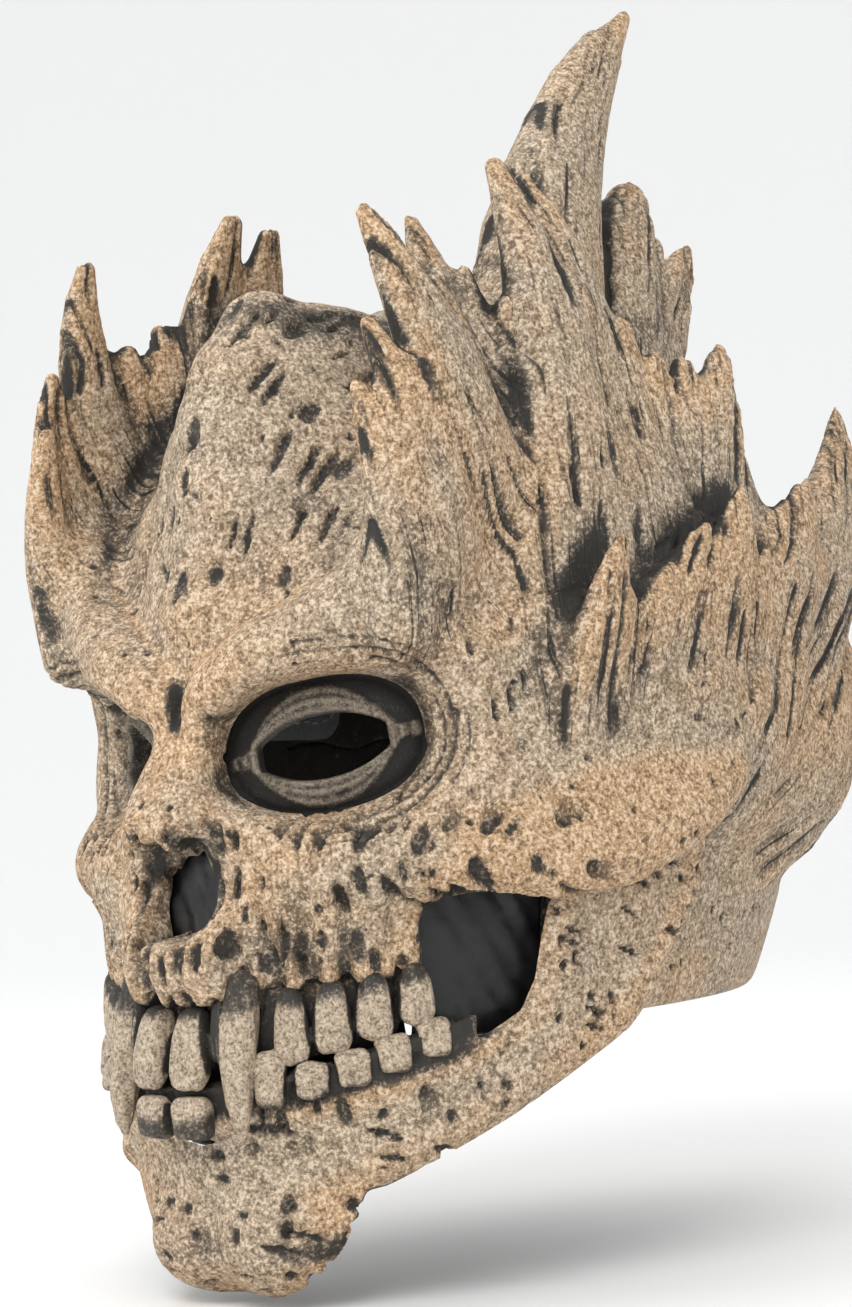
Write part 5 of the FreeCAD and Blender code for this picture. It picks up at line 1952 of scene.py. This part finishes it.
# This black finish serves the gauze and also the black sheet that paints the shade of the mouth.
GAUZE = PlainFinish("black_gauze_and_shade", (0.003, 0.003, 0.0035), (0.007, 0.007, 0.008), 0.5, 160.0, bump=0.0006)
FOAM = PlainFinish("grey_foam", (0.09, 0.09, 0.095), (0.14, 0.14, 0.15), 0.95, 1400.0, bump=0.0005)
ELASTIC = PlainFinish("black_elastic", (0.015, 0.015, 0.016), (0.04, 0.04, 0.042), 0.8, 2200.0, weave=True)
STEEL = PlainFinish("nickel_steel", (0.55, 0.54, 0.52), (0.44, 0.43, 0.41), 0.32, 320.0, metallic=1.0, bump=0.00003)
NYLON = PlainFinish("black_nylon", (0.02, 0.02, 0.021), (0.035, 0.035, 0.036), 0.5, 900.0, bump=0.00004)
THREAD = PlainFinish("grey_thread", (0.3, 0.29, 0.27), (0.4, 0.38, 0.35), 0.8, 2500.0)


class Hardware:
    """Rivets, screws, posts and washers, which keep their own shape."""

    finishes = {"rivet": Slot.STEEL, "screw": Slot.STEEL, "post": Slot.STEEL, "washer": Slot.NYLON}

    def dress(self, steel: bpy.types.Material, nylon: bpy.types.Material, painted: bpy.types.Material) -> None:
        """Gives each piece its finish."""
        for name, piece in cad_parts.items():
            for word, slot in self.finishes.items():
                if word in name:
                    for holder in piece.material_slots:
                        plain = steel if slot is Slot.STEEL else nylon
                        holder.material = painted if "rivet" in name else plain
                    LOG.info("%s keeps its shape", name)


@dataclass
class Studio:
    """Camera, floor and soft lights."""

    azimuth: float = 40.0
    elevation: float = -2.6
    roll: float = -2.5
    distance: float = 0.85
    slide: float = 0.0017
    lift: float = 0.0237
    focus_y: float = -0.02
    focal_length: float = 82.63
    floor_drop: float = 0.0015

    def build(self, box: list) -> None:
        """Sets the camera, the floor and the lights.

        Args:
            box: the lowest and highest corners of the object.
        """
        self.camera()
        self.floor(box[0][2] - self.floor_drop)
        self.lights()

    def camera(self) -> None:
        """The camera, at the viewing angle of a head seen from its left front."""
        azimuth, elevation, roll = (math.radians(angle) for angle in (self.azimuth, self.elevation, self.roll))
        back = np.array([math.sin(azimuth) * math.cos(elevation), -math.cos(azimuth) * math.cos(elevation), math.sin(elevation)])
        right = np.array([math.cos(azimuth), math.sin(azimuth), 0.0])
        up = np.cross(back, right)
        across = math.cos(roll) * right + math.sin(roll) * up
        upward = -math.sin(roll) * right + math.cos(roll) * up
        spot = back * self.distance + right * self.slide + np.array([0.0, self.focus_y, self.lift])
        rows = [[*map(float, row)] for row in np.stack([across, upward, back, spot], 1)]
        data = bpy.data.cameras.new("camera")
        data.lens, data.sensor_width, data.sensor_fit = self.focal_length, 36.0, "AUTO"
        data.clip_start, data.clip_end = 0.01, 20.0
        camera = bpy.data.objects.new("camera", data)
        camera.matrix_world = Matrix([*rows, [0.0, 0.0, 0.0, 1.0]])
        bpy.context.scene.collection.objects.link(camera)
        bpy.context.scene.camera = camera

    def floor(self, height: float) -> None:
        """A pale floor that bends up behind the object from every side."""
        inner, outer, rise = 1.4, 3.6, 2.4
        around, rings = 64, 16
        points = [(0.0, 0.0, height)]
        for i in range(rings + 1):
            share = i / rings
            reach = inner + (outer - inner) * math.sin(share * math.pi / 2)
            z = height + rise * (1.0 - math.cos(share * math.pi / 2))
            for j in range(around):
                turn = 2 * math.pi * j / around
                points.append((reach * math.cos(turn), reach * math.sin(turn), z))
        faces = [(0, 1 + j, 1 + (j + 1) % around) for j in range(around)]
        for i in range(rings):
            for j in range(around):
                a, b = 1 + i * around + j, 1 + i * around + (j + 1) % around
                faces.append((a, a + around, b + around, b))
        mesh = bpy.data.meshes.new("studio_floor")
        mesh.from_pydata(points, [], faces)
        mesh.shade_smooth()
        floor = bpy.data.objects.new("studio_floor", mesh)
        bpy.context.scene.collection.objects.link(floor)
        mesh.materials.append(self.paper())
        floor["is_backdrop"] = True

    def paper(self) -> bpy.types.Material:
        """White studio paper."""
        material = bpy.data.materials.new("studio_paper")
        material.use_nodes = True
        shader = material.node_tree.nodes["Principled BSDF"]
        shader.inputs["Base Color"].default_value = (0.93, 0.93, 0.925, 1.0)
        shader.inputs["Roughness"].default_value = 0.95
        shader.inputs["Specular IOR Level"].default_value = 0.1
        return material

    def lights(self) -> None:
        """A broad key from the front, a fill and a top light, in a pale room."""
        world = bpy.data.worlds.new("room")
        world.use_nodes = True
        world.node_tree.nodes["Background"].inputs[0].default_value = (0.98, 0.99, 1.0, 1.0)
        world.node_tree.nodes["Background"].inputs[1].default_value = 0.78
        bpy.context.scene.world = world
        for name, spot, power, size in (
            ("key", (0.7, -1.7, 1.5), 28.0, 1.2),
            ("fill", (-1.5, -1.2, 0.5), 7.0, 1.4),
            ("side", (1.7, 0.2, 0.5), 1.5, 1.2),
            ("top", (-0.5, -0.2, 2.0), 8.0, 1.2),
        ):
            data = bpy.data.lights.new(name, "AREA")
            data.energy, data.size = power, size
            lamp = bpy.data.objects.new(name, data)
            way = np.array([0.0, 0.0, 0.03]) - np.array(spot)
            back = -way / np.linalg.norm(way)
            right = np.cross((0.0, 0.0, 1.0), back)
            right /= np.linalg.norm(right)
            up = np.cross(back, right)
            rows = [[*map(float, row)] for row in np.stack([right, up, back, np.array(spot)], 1)]
            lamp.matrix_world = Matrix([*rows, [0.0, 0.0, 0.0, 1.0]])
            bpy.context.scene.collection.objects.link(lamp)


def main() -> None:
    """Builds every piece of the mask and the studio."""
    logging.basicConfig(level=logging.INFO, format="%(name)s %(message)s")
    plain_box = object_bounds()
    head = HeadForm()
    skull = SkullSculpt(head, 1.2)
    jaw = JawSculpt(head, 1.05)
    LOG.info("clay is ready")
    bone = BONE.build()
    CastSkins(skull, jaw, Relief(skull), bone).build()
    Teeth(head, TOOTH.build()).build()
    Eyelids(head, skull.orbit, LID.build()).build()
    Gauzes(head, GAUZE.build()).build()
    Linings(head, FOAM.build(), THREAD.build()).build()
    JawElastics(head, ELASTIC.build()).build()
    Hardware().dress(STEEL.build(), NYLON.build(), bone)
    Studio().build(plain_box)
    bpy.context.scene.view_settings.view_transform = "Standard"


if __name__ == "__main__":
    main()
